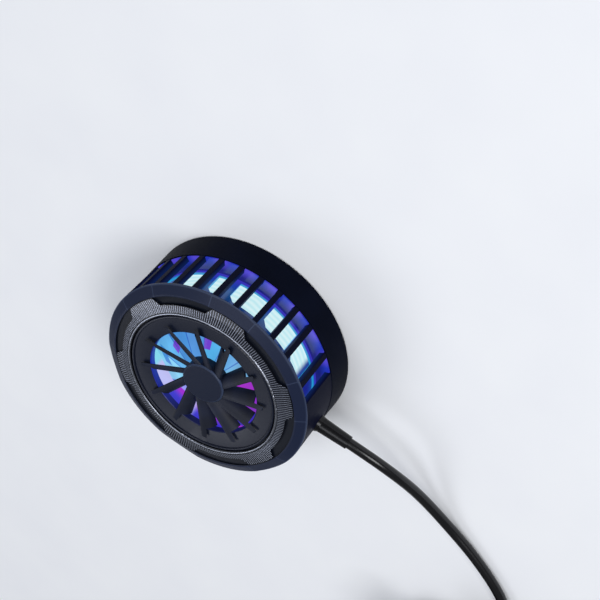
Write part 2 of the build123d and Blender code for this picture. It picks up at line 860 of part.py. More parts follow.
thrust_bottom = sink_boss_top + tube_floor
shaft_bottom = thrust_bottom + thrust_thick + clip_gap
with BuildPart() as rotor_shaft:
    with BuildSketch(Plane.XY.offset(shaft_bottom)):
        Circle(shaft_radius)
    extrude(amount=yoke_top - shaft_bottom)
    chamfer(rotor_shaft.edges().group_by(Axis.Z)[0], shaft_radius / 5)
save(rotor_shaft.part, "rotor_shaft")

ring_bottom = shaft_bottom + clip_gap
save(ring_part(ring_radius, shaft_radius + fit_gap, ring_bottom, ring_bottom + ring_thick), "retaining_ring")

# Bearing tube with its screwed flange and a step for the motor board
flange_top = sink_boss_top + flange_thick
motor_board_bottom = flange_top + motor_screw_head / 2
with BuildPart() as bearing_tube:
    with BuildSketch(Plane.XY.offset(sink_boss_top)):
        Circle(flange_radius)
    extrude(amount=flange_thick)
    with BuildSketch(Plane.XY.offset(sink_boss_top)):
        Circle(motor_step_radius)
    extrude(amount=motor_board_bottom - sink_boss_top)
    with BuildSketch(Plane.XY.offset(sink_boss_top)):
        Circle(tube_radius)
    extrude(amount=tube_top - sink_boss_top)
    with BuildSketch(Plane.XY.offset(thrust_bottom)):
        Circle(tube_bore)
    extrude(amount=tube_top - thrust_bottom + overrun, mode=Mode.SUBTRACT)
    with BuildSketch(Plane.XY.offset(flange_top)):
        with PolarLocations(motor_screw_ring, motor_screw_count, start_angle=90):
            Circle(motor_screw_shank / 2 + fit_gap)
    extrude(amount=-flange_thick - overrun, mode=Mode.SUBTRACT)
save(bearing_tube.part, "bearing_tube")

with BuildPart() as motor_screws:
    with BuildSketch(Plane.XY.offset(flange_top)):
        with PolarLocations(motor_screw_ring, motor_screw_count, start_angle=90):
            Circle(motor_screw_head / 2)
    extrude(amount=motor_screw_head / 2 - slide_gap)
    with BuildSketch(Plane.XY.offset(flange_top)):
        with PolarLocations(motor_screw_ring, motor_screw_count, start_angle=90):
            Circle(motor_screw_shank / 2)
    extrude(amount=-flange_thick)
save(motor_screws.part, "motor_screws")

with BuildPart() as thrust_pad:
    with BuildSketch(Plane.XY.offset(thrust_bottom)):
        Circle(tube_bore - fit_gap)
    extrude(amount=thrust_thick)
save(thrust_pad.part, "thrust_pad")

bearing_bottom = ring_bottom + ring_thick + clip_gap
save(ring_part(tube_bore - fit_gap, shaft_radius + clip_gap, bearing_bottom, tube_top), "sleeve_bearing")

motor_board = ring_part(
    motor_board_radius, tube_radius + fit_gap, motor_board_bottom, motor_board_bottom + motor_board_thick
)
save(motor_board, "motor_board")


def pole_shoe(angle):
    """The curved end of one stator pole."""
    with BuildSketch() as shoe:
        add(sector(core_radius, angle - shoe_half_angle, angle + shoe_half_angle))
        Circle(core_radius - shoe_depth, mode=Mode.SUBTRACT)
    return shoe.sketch


# Stator: six poles with wide shoes, and a winding round each pole
with BuildPart() as stator_core:
    with BuildSketch(Plane.XY.offset(core_bottom)):
        Circle(core_hub_radius)
        with PolarLocations(core_radius / 2, pole_count):
            Rectangle(core_radius - shoe_depth, tooth_width)
        for step in range(pole_count):
            add(pole_shoe(step * 360 / pole_count))
        Circle(tube_radius + fit_gap, mode=Mode.SUBTRACT)
    extrude(amount=core_thick)
save(stator_core.part, "stator_core")

winding_inner = core_hub_radius + fit_gap
winding_corner = tooth_width / 2 + coil_thick
winding_outer = sqrt((core_radius - shoe_depth) ** 2 - winding_corner**2) - fit_gap
winding_reach = (winding_inner + winding_outer) / 2
with BuildPart() as stator_windings:
    with BuildSketch(Plane.XY.offset(core_bottom - coil_thick)):
        with PolarLocations(winding_reach, pole_count):
            Rectangle(winding_outer - winding_inner, 2 * winding_corner)
    extrude(amount=core_thick + 2 * coil_thick)
    with BuildSketch(Plane.XY.offset(core_bottom - fit_gap)):
        with PolarLocations(winding_reach, pole_count):
            Rectangle(winding_outer - winding_inner + overrun, tooth_width + 2 * fit_gap)
    extrude(amount=core_thick + 2 * fit_gap, mode=Mode.SUBTRACT)
save(stator_windings.part, "stator_windings")


def biarc_edges(start, start_way, end, end_way):
    """Two arcs that leave one point along one direction and reach the next along the other."""
    span = end - start
    reach = span.length / 2
    middle = (start + start_way * reach + end - end_way * reach) / 2
    with BuildLine() as pair:
        first = TangentArc(start, middle, tangent=start_way)
        TangentArc(middle, end, tangent=first % 1)
    return pair.line


# The coil: half turns whose radius steps in and out again, four layers deep
coil_way = Vector(cos(radians(coil_heading)), sin(radians(coil_heading)), 0)
coil_side = Vector(-sin(radians(coil_heading)), cos(radians(coil_heading)), 0)
coil_centre = Vector(coil_centre_x, coil_centre_y, 0)
coil_most = max(coil_half_turns) * coil_pitch / 2
coil_inner_radius = coil_mean_radius - coil_most / 2
coil_outer_radius = coil_mean_radius + coil_most / 2
coil_low = coil_floor + cord_radius

turn_radius = coil_inner_radius + coil_half_turns[0] * coil_pitch / 2
turn_height = coil_low
coil_steps = [(turn_radius, turn_height)]
for layer, half_turns in enumerate(coil_half_turns):
    inwards = -1 if layer % 2 == 0 else 1
    for _ in range(half_turns):
        turn_radius += inwards * coil_pitch / 2
        coil_steps.append((turn_radius, turn_height))
    if layer < len(coil_half_turns) - 1:
        turn_height += coil_layer_pitch
        coil_steps.append((turn_radius, turn_height))

coil_points = [
    coil_centre + coil_side * reach * (-1) ** step + Vector(0, 0, height)
    for step, (reach, height) in enumerate(coil_steps)
]
coil_start = coil_points[0] - coil_way * cord_diameter
coil_end = coil_points[-1] + coil_way * cord_diameter
with BuildPart() as cord_coil:
    with BuildLine() as coil_path:
        Line(coil_start, coil_points[0])
        for step, (near, far) in enumerate(zip(coil_points, coil_points[1:])):
            way = coil_way * (-1) ** step
            add(biarc_edges(near, way, far, way * -1))
        Line(coil_points[-1], coil_end)
    with BuildSketch(Plane(origin=coil_start, z_dir=coil_way)):
        Circle(cord_radius)
    sweep()
save(cord_coil.part, "cord_coil")

samples_per_turn = 48
coil_wire = coil_path.wires()[0]
sample_count = samples_per_turn * len(coil_points) // 2
coil_samples = [coil_wire @ (number / sample_count) for number in range(sample_count + 1)]
least = min(
    (coil_samples[here] - coil_samples[there]).length
    for here in range(sample_count)
    for there in range(here + samples_per_turn // 3, sample_count)
)
print("coil turns", (len(coil_points) - 1) / 2, "length", round(coil_wire.length, 1))
print("coil least gap", round(least - cord_diameter, 2))


def cord_tube(name, points):
    """A cord's free stretch: straight runs joined by arcs as large as the runs allow."""
    runs = [(far - near).length for near, far in zip(points, points[1:])]
    bends = []
    for before, after, near, here, far in zip(runs, runs[1:], points, points[1:], points[2:]):
        turn = radians((here - near).get_angle(far - here))
        bends.append(0.45 * min(before, after) / tan(turn / 2))
    with BuildPart() as tube:
        with BuildLine() as path:
            FilletPolyline(*points, radius=bends)
        with BuildSketch(Plane(origin=points[0], z_dir=points[1] - points[0])):
            Circle(cord_radius)
        sweep()
    length = path.wires()[0].length
    share = tube.part.volume / (pi * cord_radius**2 * length)
    print(name, "runs", [round(run, 1) for run in runs], "radii", [round(bend, 1) for bend in bends])
    print(name, "length", round(length, 1), "volume over section times length", round(share, 4))
    save(tube.part, name)


# The cord from the control board through the relief, down to the surface and to the coil
cord_route = [
    Vector(control_outer_reach + fit_gap, 0, exit_height),
    Vector(40.5, 0, exit_height),
    Vector(50.0, -2.6, 10.4),
    Vector(58.3, -9.4, 5.6),
    Vector(68.6, -17.6, 2.0),
    Vector(80.2, -23.4, 1.45),
    Vector(91.6, -30.8, 1.45),
    coil_start - coil_way * coil_lead_in,
    coil_start,
]
cord_tube("cord", cord_route)

# The far end leaves the coil's top layer, turns back over it and ends in the plug that lies on it
coil_top = coil_points[-1].Z + cord_radius
plug_rest = coil_top + tie_gap + tie_thick + plug_gap + plug_height / 2
tail_bend_angle = 180 / len(tail_climb_shares)
tail_run = 2 * tail_turn_radius * tan(radians(tail_bend_angle / 2))
tail_corner_reach = tail_turn_radius / cos(radians(tail_bend_angle / 2))


def over_coil(ahead, aside, height):
    return coil_centre + coil_way * ahead + coil_side * aside + Vector(0, 0, height)


tail_route = [coil_end]
for corner, share in enumerate(tail_climb_shares):
    turned = radians((corner + 0.5) * tail_bend_angle)
    tail_route.append(
        over_coil(
            cord_diameter + tail_run / 2 + tail_corner_reach * sin(turned),
            coil_steps[-1][0] - tail_turn_radius + tail_corner_reach * cos(turned),
            coil_points[-1].Z + share * (plug_rest - coil_points[-1].Z),
        )
    )
tail_route.append(tail_route[-1] - coil_way * tail_run)
cord_tube("cord_tail", tail_route)

# A strap round the coil's turns
with BuildPart() as coil_tie:
    tie_half = tie_width / 2
    tie_inside = sqrt((coil_inner_radius - cord_radius) ** 2 - tie_half**2) - tie_gap
    tie_outside = coil_outer_radius + cord_radius + tie_gap
    tie_low = coil_floor - tie_gap
    tie_high = coil_points[-1].Z + cord_radius + tie_gap
    tie_lift = Vector(0, 0, (tie_low + tie_high) / 2)
    tie_middle = coil_centre - coil_side * (tie_inside + tie_outside) / 2 + tie_lift
    with BuildSketch(Plane(origin=tie_middle, x_dir=coil_side, z_dir=coil_way)):
        RectangleRounded(
            tie_outside - tie_inside + 2 * tie_thick, tie_high - tie_low + 2 * tie_thick, tie_thick + tie_gap
        )
        RectangleRounded(tie_outside - tie_inside, tie_high - tie_low, tie_gap, mode=Mode.SUBTRACT)
    extrude(amount=tie_half, both=True)
save(coil_tie.part, "coil_tie")


def plug_plane(along):
    """A plane across the plug, at a distance from the cord's end."""
    return Plane(origin=tail_route[-1] - coil_way * along, x_dir=coil_side, z_dir=-coil_way)


# Plug: a moulded body with a tapered neck, a steel shell and the tongue inside it
with BuildPart() as plug_body:
    with BuildSketch(plug_plane(0)):
        Circle(cord_radius + fit_gap * 2)
    with BuildSketch(plug_plane(plug_neck_length)):
        Circle(plug_neck_radius)
    loft()
    with BuildSketch(plug_plane(plug_neck_length)):
        RectangleRounded(plug_width, plug_height, plug_corner)
    extrude(amount=plug_length)
    fillet(plug_body.faces().sort_by(Axis((0, 0, 0), tuple(-coil_way)))[-1].edges(), edge_round)
save(plug_body.part, "plug_body")

shell_start = plug_neck_length + plug_length
with BuildPart() as plug_shell:
    with BuildSketch(plug_plane(shell_start)):
        SlotOverall(plug_shell_width, plug_shell_height)
        offset(amount=-plug_shell_wall, mode=Mode.SUBTRACT)
    extrude(amount=plug_shell_length)
save(plug_shell.part, "plug_shell")

with BuildPart() as plug_tongue:
    with BuildSketch(plug_plane(shell_start)):
        Rectangle(plug_tongue_width, plug_tongue_thick)
    extrude(amount=plug_shell_length - plug_tongue_inset)
save(plug_tongue.part, "plug_tongue")
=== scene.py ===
import json
import math
import bmesh
import bpy
from mathutils import Matrix, Vector


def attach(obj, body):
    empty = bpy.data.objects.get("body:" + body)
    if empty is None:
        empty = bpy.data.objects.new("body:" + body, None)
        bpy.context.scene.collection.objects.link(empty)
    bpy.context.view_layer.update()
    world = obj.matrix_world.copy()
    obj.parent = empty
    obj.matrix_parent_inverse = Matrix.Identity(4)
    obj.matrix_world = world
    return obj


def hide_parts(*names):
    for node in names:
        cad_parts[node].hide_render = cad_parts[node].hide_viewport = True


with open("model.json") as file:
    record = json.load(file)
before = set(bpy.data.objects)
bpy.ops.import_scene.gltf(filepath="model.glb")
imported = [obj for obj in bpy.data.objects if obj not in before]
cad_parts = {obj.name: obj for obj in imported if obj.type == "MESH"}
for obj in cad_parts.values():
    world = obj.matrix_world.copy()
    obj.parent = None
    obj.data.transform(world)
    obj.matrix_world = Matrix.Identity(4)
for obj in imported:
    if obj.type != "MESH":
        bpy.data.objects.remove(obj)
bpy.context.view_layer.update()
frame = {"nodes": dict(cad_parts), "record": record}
nodes = frame["nodes"]
mm = 0.001
print("frame loaded:", len(nodes), "nodes")


# Shared helpers
def toLinear(code):  # sRGB hex to linear colour
    parts = [int(code[i:i + 2], 16) / 255 for i in (0, 2, 4)]
    return (*[p / 12.92 if p <= 0.04045 else ((p + 0.055) / 1.055) ** 2.4 for p in parts], 1.0)


def grey(level):  # a mask's level, as a colour
    return (level, level, level, 1.0)


def addNode(tree, kind, values=None, links=None, **settings):
    node = tree.nodes.new(kind)
    for key, value in settings.items():
        setattr(node, key, value)
    for key, value in (values or {}).items():
        node.inputs[key].default_value = value
    for key, source in (links or {}).items():
        tree.links.new(source, node.inputs[key])
    return node


made = {}  # materials by slot, and the floor's and the fine ribs' besides


def startMaterial(slot, name, values):  # a Principled material, with its tree, shader and coordinates
    material = bpy.data.materials.new(name)
    material.use_nodes = True
    tree = material.node_tree
    shader = tree.nodes["Principled BSDF"]
    for key, value in values.items():
        shader.inputs[key].default_value = value
    made[slot] = material
    return tree, shader, addNode(tree, "ShaderNodeTexCoord").outputs["Object"]


def setRamp(node, stops, mode="LINEAR"):
    ramp = node.color_ramp
    ramp.interpolation = mode
    while len(ramp.elements) > 1:
        ramp.elements.remove(ramp.elements[-1])
    ramp.elements[0].position, ramp.elements[0].color = stops[0]
    for position, tint in stops[1:]:
        ramp.elements.new(position).color = tint


def addGrain(tree, shader, place, sizeMm, depthMm, roughLow, roughHigh):  # moulded or blasted grain
    noise = addNode(tree, "ShaderNodeTexNoise", {"Scale": 1 / (sizeMm * mm), "Detail": 3.0},
                    {"Vector": place})
    grain = noise.outputs["Fac"]
    rough = addNode(tree, "ShaderNodeMapRange", {"To Min": roughLow, "To Max": roughHigh}, {"Value": grain})
    bump = addNode(tree, "ShaderNodeBump", {"Strength": 0.5, "Distance": depthMm * mm}, {"Height": grain})
    tree.links.new(rough.outputs["Result"], shader.inputs["Roughness"])
    tree.links.new(bump.outputs["Normal"], shader.inputs["Normal"])


def tintBy(tree, shader, place, scale, dark, light):  # slow colour variation
    drift = addNode(tree, "ShaderNodeTexNoise", {"Scale": scale}, {"Vector": place})
    ramp = addNode(tree, "ShaderNodeValToRGB", links={"Fac": drift.outputs["Fac"]})
    setRamp(ramp, [(0.3, toLinear(dark)), (0.7, toLinear(light))])
    tree.links.new(ramp.outputs["Color"], shader.inputs["Base Color"])


def setGlow(tree, shader, source, level):  # light that the piece gives off
    tree.links.new(source, shader.inputs["Emission Color"])
    shader.inputs["Emission Strength"].default_value = level


def polarOf(tree, place):  # a point's angle in turns (0-1), distance from the axis and height
    split = addNode(tree, "ShaderNodeSeparateXYZ", links={0: place})
    x, y = split.outputs["X"], split.outputs["Y"]
    angle = addNode(tree, "ShaderNodeMath", links={0: y, 1: x}, operation="ARCTAN2")
    turns = addNode(tree, "ShaderNodeMath", {1: 1 / math.tau, 2: 1.0}, {0: angle.outputs[0]},
                    operation="MULTIPLY_ADD")
    share = addNode(tree, "ShaderNodeMath", links={0: turns.outputs[0]}, operation="FRACT")
    squareX = addNode(tree, "ShaderNodeMath", links={0: x, 1: x}, operation="MULTIPLY")
    squares = addNode(tree, "ShaderNodeMath", links={0: y, 1: y, 2: squareX.outputs[0]},
                      operation="MULTIPLY_ADD")
    reach = addNode(tree, "ShaderNodeMath", links={0: squares.outputs[0]}, operation="SQRT")
    return share.outputs[0], reach.outputs[0], split.outputs["Z"]


# Camera, as the photograph was taken
view = {"place": (0.05262, 0.23544, 0.20906), "lens": 74.44, "sensor": 36,
        "right": (0.82976763, 0.29262257, -0.47524489),
        "up": (-0.53904205, 0.64086821, -0.5465543),
        "back": (0.14463522, 0.70969005, 0.68950757)}
camera = bpy.data.objects.new("camera", bpy.data.cameras.new("camera"))
camera.data.lens = view["lens"]
camera.data.sensor_width = view["sensor"]
axes = Matrix((view["right"], view["up"], view["back"])).transposed()
camera.matrix_world = Matrix.Translation(view["place"]) @ axes.to_4x4()
bpy.context.scene.collection.objects.link(camera)
bpy.context.scene.camera = camera

# Cord: from the board through the relief, down to the surface and into its coil, then to the plug
cordShape = {"diameter": 2.8, "length": 1162.0, "exit": (37.43, 0.0, 12.3),
             "route": [(26.07, 0, 12.3), (40.5, 0, 12.3), (50.0, -2.6, 10.4), (58.3, -9.4, 5.6),
                       (68.6, -17.6, 2.0), (80.2, -23.4, 1.45), (91.6, -30.8, 1.45)],
             "coilCentre": (95.5, -62.0), "heading": -48.0, "startReach": 17.925, "reachStep": 1.95,
             "halfTurns": (4, 5, 5, 5), "lowest": 2.4, "layerStep": 3.4, "pointsPerHalf": 12,
             "leadIn": (15.8, 2.8), "resolution": 6, "roundness": 5,
             "tail": [(2.8, 19.875, 12.6), (9.552, 19.875, 12.6), (15.4, 16.499, 13.586),
                      (18.776, 10.651, 14.804), (18.776, 3.899, 16.196), (15.4, -1.949, 17.414),
                      (9.552, -5.325, 18.4), (2.8, -5.325, 18.4)]}  # ahead, aside and up from the coil's centre
heading = math.radians(cordShape["heading"])
coilWay = Vector((math.cos(heading), math.sin(heading), 0))
coilSide = Vector((-math.sin(heading), math.cos(heading), 0))
coilCentre = Vector((*cordShape["coilCentre"], 0))


def coilPlaces():  # control points of every half turn, layer by layer
    reach, height = cordShape["startReach"], cordShape["lowest"]
    steps = [(reach, height)]
    for layer, count in enumerate(cordShape["halfTurns"]):
        for _ in range(count):
            reach += cordShape["reachStep"] * (-1 if layer % 2 == 0 else 1)
            steps.append((reach, height))
        if layer < len(cordShape["halfTurns"]) - 1:
            height += cordShape["layerStep"]
            steps.append((reach, height))
    per = cordShape["pointsPerHalf"]
    swell = 1 / math.cos(math.pi / per / 2)  # the spline runs inside its points
    for number, ((near, low), (far, high)) in enumerate(zip(steps, steps[1:])):
        hand = (-1) ** number
        for part in range(per):
            turn = math.pi * (part + 0.5) / per
            aside = (near - far) / 2 + (near + far) / 2 * swell * math.cos(turn)
            ahead = (near + far) / 2 * swell * math.sin(turn)
            rise = low + (high - low) * (1 - math.cos(turn)) / 2
            yield coilCentre + coilSide * aside * hand + coilWay * ahead * hand + Vector((0, 0, rise))


coilStart = coilCentre + coilSide * cordShape["startReach"] + Vector((0, 0, cordShape["lowest"]))
leadPlaces = [coilStart - coilWay * lead for lead in cordShape["leadIn"]]
tailPlaces = [coilCentre + coilWay * x + coilSide * y + Vector((0, 0, z)) for x, y, z in cordShape["tail"]]
cordPlaces = [Vector(p) for p in cordShape["route"]] + leadPlaces + list(coilPlaces()) + tailPlaces
cordCurve = bpy.data.curves.new("supplyCord", "CURVE")
cordCurve.dimensions = "3D"
cordLine = cordCurve.splines.new("NURBS")
cordLine.points.add(len(cordPlaces) - 1)
for point, spot in zip(cordLine.points, cordPlaces):
    point.co = (*(spot * mm), 1.0)
    point.radius = cordShape["diameter"] / 2 * mm  # kept here, because a curve's bounds grow by this radius
cordLine.order_u = 3
cordLine.use_endpoint_u = True
cordLine.resolution_u = cordShape["resolution"]
cordCurve.bevel_depth = 1.0
cordCurve.bevel_resolution = cordShape["roundness"]
cordCurve.use_fill_caps = True
supplyCord = bpy.data.objects.new("supplyCord", cordCurve)
bpy.context.scene.collection.objects.link(supplyCord)
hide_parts("cord", "cord_coil", "cord_tail")
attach(supplyCord, "housing")
print("cord laid:", len(cordPlaces), "points")

# Floor, world and lamps, at a plain level
stage = {"floorTints": ("EFF0F2", "F2F3F4"), "floorSize": 6.0, "speckleScale": 40.0,
         "floorFinish": {"Roughness": 0.9, "Specular IOR Level": 0.1},
         "worldTint": "F2F5FA", "worldLevel": 0.27,
         "lamps": {"keyLamp": ((0.42, 0.4, 0.55), 0.4, 3.1, "FBFCFF"),
                   "topLamp": ((-0.12, 0.22, 0.78), 0.5, 2.0, "F4F7FF"),
                   "backLamp": ((-0.31, -0.44, 0.6), 0.4, 1.4, "F4F7FF")}}  # place, size, watts, tint
bpy.context.scene.view_settings.view_transform = "Standard"
floorMesh = bpy.data.meshes.new("paleFloor")
half = stage["floorSize"] / 2
corners = [(-half, -half, 0), (half, -half, 0), (half, half, 0), (-half, half, 0)]
floorMesh.from_pydata(corners, [], [(0, 1, 2, 3)])
paleFloor = bpy.data.objects.new("paleFloor", floorMesh)
bpy.context.scene.collection.objects.link(paleFloor)
tree, shader, place = startMaterial("floor", "paleFloorCard", stage["floorFinish"])
tintBy(tree, shader, place, stage["speckleScale"], *stage["floorTints"])
paleFloor.data.materials.append(made["floor"])

world = bpy.data.worlds.new("paleRoom")
bpy.context.scene.world = world
world.use_nodes = True
sky = world.node_tree.nodes["Background"]
sky.inputs["Color"].default_value = toLinear(stage["worldTint"])
sky.inputs["Strength"].default_value = stage["worldLevel"]

for name, (spot, size, power, tint) in stage["lamps"].items():
    lamp = bpy.data.lights.new(name, "AREA")
    lamp.shape = "DISK"
    lamp.size = size
    lamp.energy = power
    lamp.color = toLinear(tint)[:3]
    holder = bpy.data.objects.new(name, lamp)
    holder.location = spot
    holder.rotation_euler = (-Vector(spot)).to_track_quat("-Z", "Y").to_euler()
    bpy.context.scene.collection.objects.link(holder)
print("stage lit")

# Materials, one for each slot of the record. A grain is its size and depth in mm, then the roughness
# low and high. Every grain is drawn at 0.28 mm or more, because the real ones are too fine to show
ior = {"abs": 1.53, "nylon": 1.53, "lacquer": 1.5, "polycarbonate": 1.58, "elastomer": 1.5,
       "silicone": 1.46}

# Moulded ABS from a spark-eroded mould: near black, a soft sheen over a very fine grain
wallLook = {"tints": ("060A17", "090E1E"), "driftScale": 90.0, "specular": 0.02,
            "grain": (0.35, 0.012, 0.42, 0.56)}
tree, shader, place = startMaterial("housing_black", "mouldedAbsBlack",
                                    {"IOR": ior["abs"], "Specular IOR Level": wallLook["specular"]})
addGrain(tree, shader, place, *wallLook["grain"])
tintBy(tree, shader, place, wallLook["driftScale"], *wallLook["tints"])

# The band's black ABS shows a little blue on its bars' sides: painted light, spilled from the lamps inside
bandLook = {"tint": "04060C", "specular": 0.03, "grain": (0.35, 0.012, 0.42, 0.56), "level": 0.7,
            "depths": (28.45, 27.2),  # distances from the axis in mm, from the face in
            "paintedSpill": [(0.0, "04061A"), (0.3, "070C34"), (1.0, "0D2258")]}
tree, shader, place = startMaterial("band_black", "blackAbsWithPaintedSpill",
                                    {"Base Color": toLinear(bandLook["tint"]), "IOR": ior["abs"],
                                     "Specular IOR Level": bandLook["specular"]})
addGrain(tree, shader, place, *bandLook["grain"])
_, reach, _ = polarOf(tree, place)
near, far = bandLook["depths"]
# Painted light: the blue glow grows deeper in from the face, where the lamps' light falls on the bars
sunk = addNode(tree, "ShaderNodeMapRange", {"From Min": near * mm, "From Max": far * mm},
               {"Value": reach})
paintedSpill = addNode(tree, "ShaderNodeValToRGB", links={"Fac": sunk.outputs["Result"]})
setRamp(paintedSpill, [(share, toLinear(tint)) for share, tint in bandLook["paintedSpill"]])
setGlow(tree, shader, paintedSpill.outputs["Color"], bandLook["level"])

# Painted die-cast ring: dark slate under a thin satin coat; painted highlights on its edge and flats' seams
bezelLook = {"tint": "161F37", "recessShadeTint": "0B101B", "edgeHighlightTint": "333D55", "seamHighlightTint": "2E3850",
             "flats": 6, "seamAngle": 12.3, "seamHalfWidth": 0.264,  # angles in degrees
             "recess": 25.55, "edge": (28.0, 28.3),  # distances from the axis in mm
             "specular": 0.18, "coat": 0.03, "coatRoughness": 0.3, "grain": (0.3, 0.008, 0.4, 0.52)}
flatStep = 360 / bezelLook["flats"]
tree, shader, place = startMaterial("bezel_slate", "paintedAlloySlate",
                                    {"IOR": ior["lacquer"], "Specular IOR Level": bezelLook["specular"],
                                     "Coat Weight": bezelLook["coat"],
                                     "Coat Roughness": bezelLook["coatRoughness"]})
addGrain(tree, shader, place, *bezelLook["grain"])
turns, reach, _ = polarOf(tree, place)
repeat = addNode(tree, "ShaderNodeMath", {1: float(bezelLook["flats"])}, {0: turns}, operation="MULTIPLY")
within = addNode(tree, "ShaderNodeMath", links={0: repeat.outputs[0]}, operation="FRACT")
offCentre = addNode(tree, "ShaderNodeMath", {1: 0.5}, {0: within.outputs[0]}, operation="SUBTRACT")
aside = addNode(tree, "ShaderNodeMath", links={0: offCentre.outputs[0]}, operation="ABSOLUTE")
# The seams are drawn paler: a painted highlight where the creases between the flats catch the light
seam = addNode(tree, "ShaderNodeMath",
               {1: bezelLook["seamAngle"] / flatStep, 2: bezelLook["seamHalfWidth"] / flatStep},
               {0: aside.outputs[0]}, operation="COMPARE")
shade = addNode(tree, "ShaderNodeMix",
                {"A": toLinear(bezelLook["tint"]), "B": toLinear(bezelLook["seamHighlightTint"])},
                {"Factor": seam.outputs[0]}, data_type="RGBA")
# Painted shade: inside the recess the colour is drawn darker, where shade falls
inRecess = addNode(tree, "ShaderNodeMath", {1: bezelLook["recess"] * mm}, {0: reach},
                   operation="LESS_THAN")
coat = addNode(tree, "ShaderNodeMix", {"B": toLinear(bezelLook["recessShadeTint"])},
               {"Factor": inRecess.outputs[0], "A": shade.outputs["Result"]}, data_type="RGBA")
# Painted highlight: paler along the outer edge, where it catches the light
edgeStart, edgeEnd = bezelLook["edge"]
atEdge = addNode(tree, "ShaderNodeMapRange", {"From Min": edgeStart * mm, "From Max": edgeEnd * mm},
                 {"Value": reach})
paintedEdgeHighlight = addNode(tree, "ShaderNodeMix", {"B": toLinear(bezelLook["edgeHighlightTint"])},
               {"Factor": atEdge.outputs["Result"], "A": coat.outputs["Result"]}, data_type="RGBA")
tree.links.new(paintedEdgeHighlight.outputs["Result"], shader.inputs["Base Color"])

# Polished ABS under the ribs: black, with a clear gloss between them
underLook = {"tint": "0A0E19", "specular": 0.3, "grain": (0.6, 0.004, 0.2, 0.32)}
tree, shader, place = startMaterial("ribbed_black", "polishedAbsBlack",
                                    {"Base Color": toLinear(underLook["tint"]), "IOR": ior["abs"],
                                     "Specular IOR Level": underLook["specular"]})
addGrain(tree, shader, place, *underLook["grain"])

# Vacuum-metallised ribs: a thin bright skin on plastic, grey with a soft blur along each rib
ribLook = {"tint": "A2A8B8", "metallic": 0.8, "grain": (0.5, 0.004, 0.3, 0.45)}
tree, shader, place = startMaterial("ribs", "metallisedAbs",
                                    {"Base Color": toLinear(ribLook["tint"]),
                                     "Metallic": ribLook["metallic"]})
addGrain(tree, shader, place, *ribLook["grain"])

# Chromed brass trim: a bright line with a satin haze
trimLook = {"tint": "848892", "metallic": 1.0, "grain": (0.8, 0.001, 0.24, 0.32)}
tree, shader, place = startMaterial("trim_chrome", "chromedBrass",
                                    {"Base Color": toLinear(trimLook["tint"]),
                                     "Metallic": trimLook["metallic"]})
addGrain(tree, shader, place, *trimLook["grain"])

# Satin ABS plate: smoother than the wall, so its dish carries a soft highlight, and blue light falls on
# the wall of its throat
plateLook = {"tint": "0F1526", "specular": 0.28, "grain": (0.3, 0.006, 0.34, 0.44), "throat": 15.3,
             "level": 0.75, "paintedSpill": [(0.0, "0A1038"), (0.45, "0E1A60"), (0.55, "1C30B4"), (0.64, "1A2290"),
                                      (0.72, "0D1142"), (1.0, "0A1038")]}  # by turns round the throat
tree, shader, place = startMaterial("plate_black", "satinAbs",
                                    {"Base Color": toLinear(plateLook["tint"]), "IOR": ior["abs"],
                                     "Specular IOR Level": plateLook["specular"]})
addGrain(tree, shader, place, *plateLook["grain"])
turns, reach, _ = polarOf(tree, place)
inThroat = addNode(tree, "ShaderNodeMath", {1: plateLook["throat"] * mm}, {0: reach},
                   operation="LESS_THAN")
ring = addNode(tree, "ShaderNodeValToRGB", links={"Fac": turns})
setRamp(ring, [(share, toLinear(tint)) for share, tint in plateLook["paintedSpill"]])
paintedSpill = addNode(tree, "ShaderNodeMix", {"A": grey(0.0)},
                {"Factor": inThroat.outputs[0], "B": ring.outputs["Color"]}, data_type="RGBA")
setGlow(tree, shader, paintedSpill.outputs["Result"], plateLook["level"])

# Glass-filled nylon blades: matt dark slate with a dry fibre grain
bladeLook = {"tints": ("10141F", "1A2033"), "driftScale": 140.0, "specular": 0.22,
             "grain": (0.28, 0.01, 0.46, 0.6)}
tree, shader, place = startMaterial("impeller_slate", "glassFilledNylon",
                                    {"IOR": ior["nylon"], "Specular IOR Level": bladeLook["specular"]})
addGrain(tree, shader, place, *bladeLook["grain"])
tintBy(tree, shader, place, bladeLook["driftScale"], *bladeLook["tints"])

# Lacquered ABS cap: dark, a little smoother than the blades, with a painted highlight along its rim
capLook = {"tint": "121A2E", "rimHighlightTint": "3C4760", "rim": (5.3, 5.75), "specular": 0.12, "coat": 0.03,
           "coatRoughness": 0.3, "grain": (0.35, 0.005, 0.3, 0.4)}
tree, shader, place = startMaterial("cap_black", "lacqueredAbs",
                                    {"IOR": ior["lacquer"], "Specular IOR Level": capLook["specular"],
                                     "Coat Weight": capLook["coat"],
                                     "Coat Roughness": capLook["coatRoughness"]})
addGrain(tree, shader, place, *capLook["grain"])
_, reach, _ = polarOf(tree, place)
# Painted highlight: paler along the rim, where its edge catches the light
rimStart, rimEnd = capLook["rim"]
rim = addNode(tree, "ShaderNodeMapRange", {"From Min": rimStart * mm, "From Max": rimEnd * mm},
              {"Value": reach})
paintedEdgeHighlight = addNode(tree, "ShaderNodeMix", {"A": toLinear(capLook["tint"]), "B": toLinear(capLook["rimHighlightTint"])},
               {"Factor": rim.outputs["Result"]}, data_type="RGBA")
tree.links.new(paintedEdgeHighlight.outputs["Result"], shader.inputs["Base Color"])

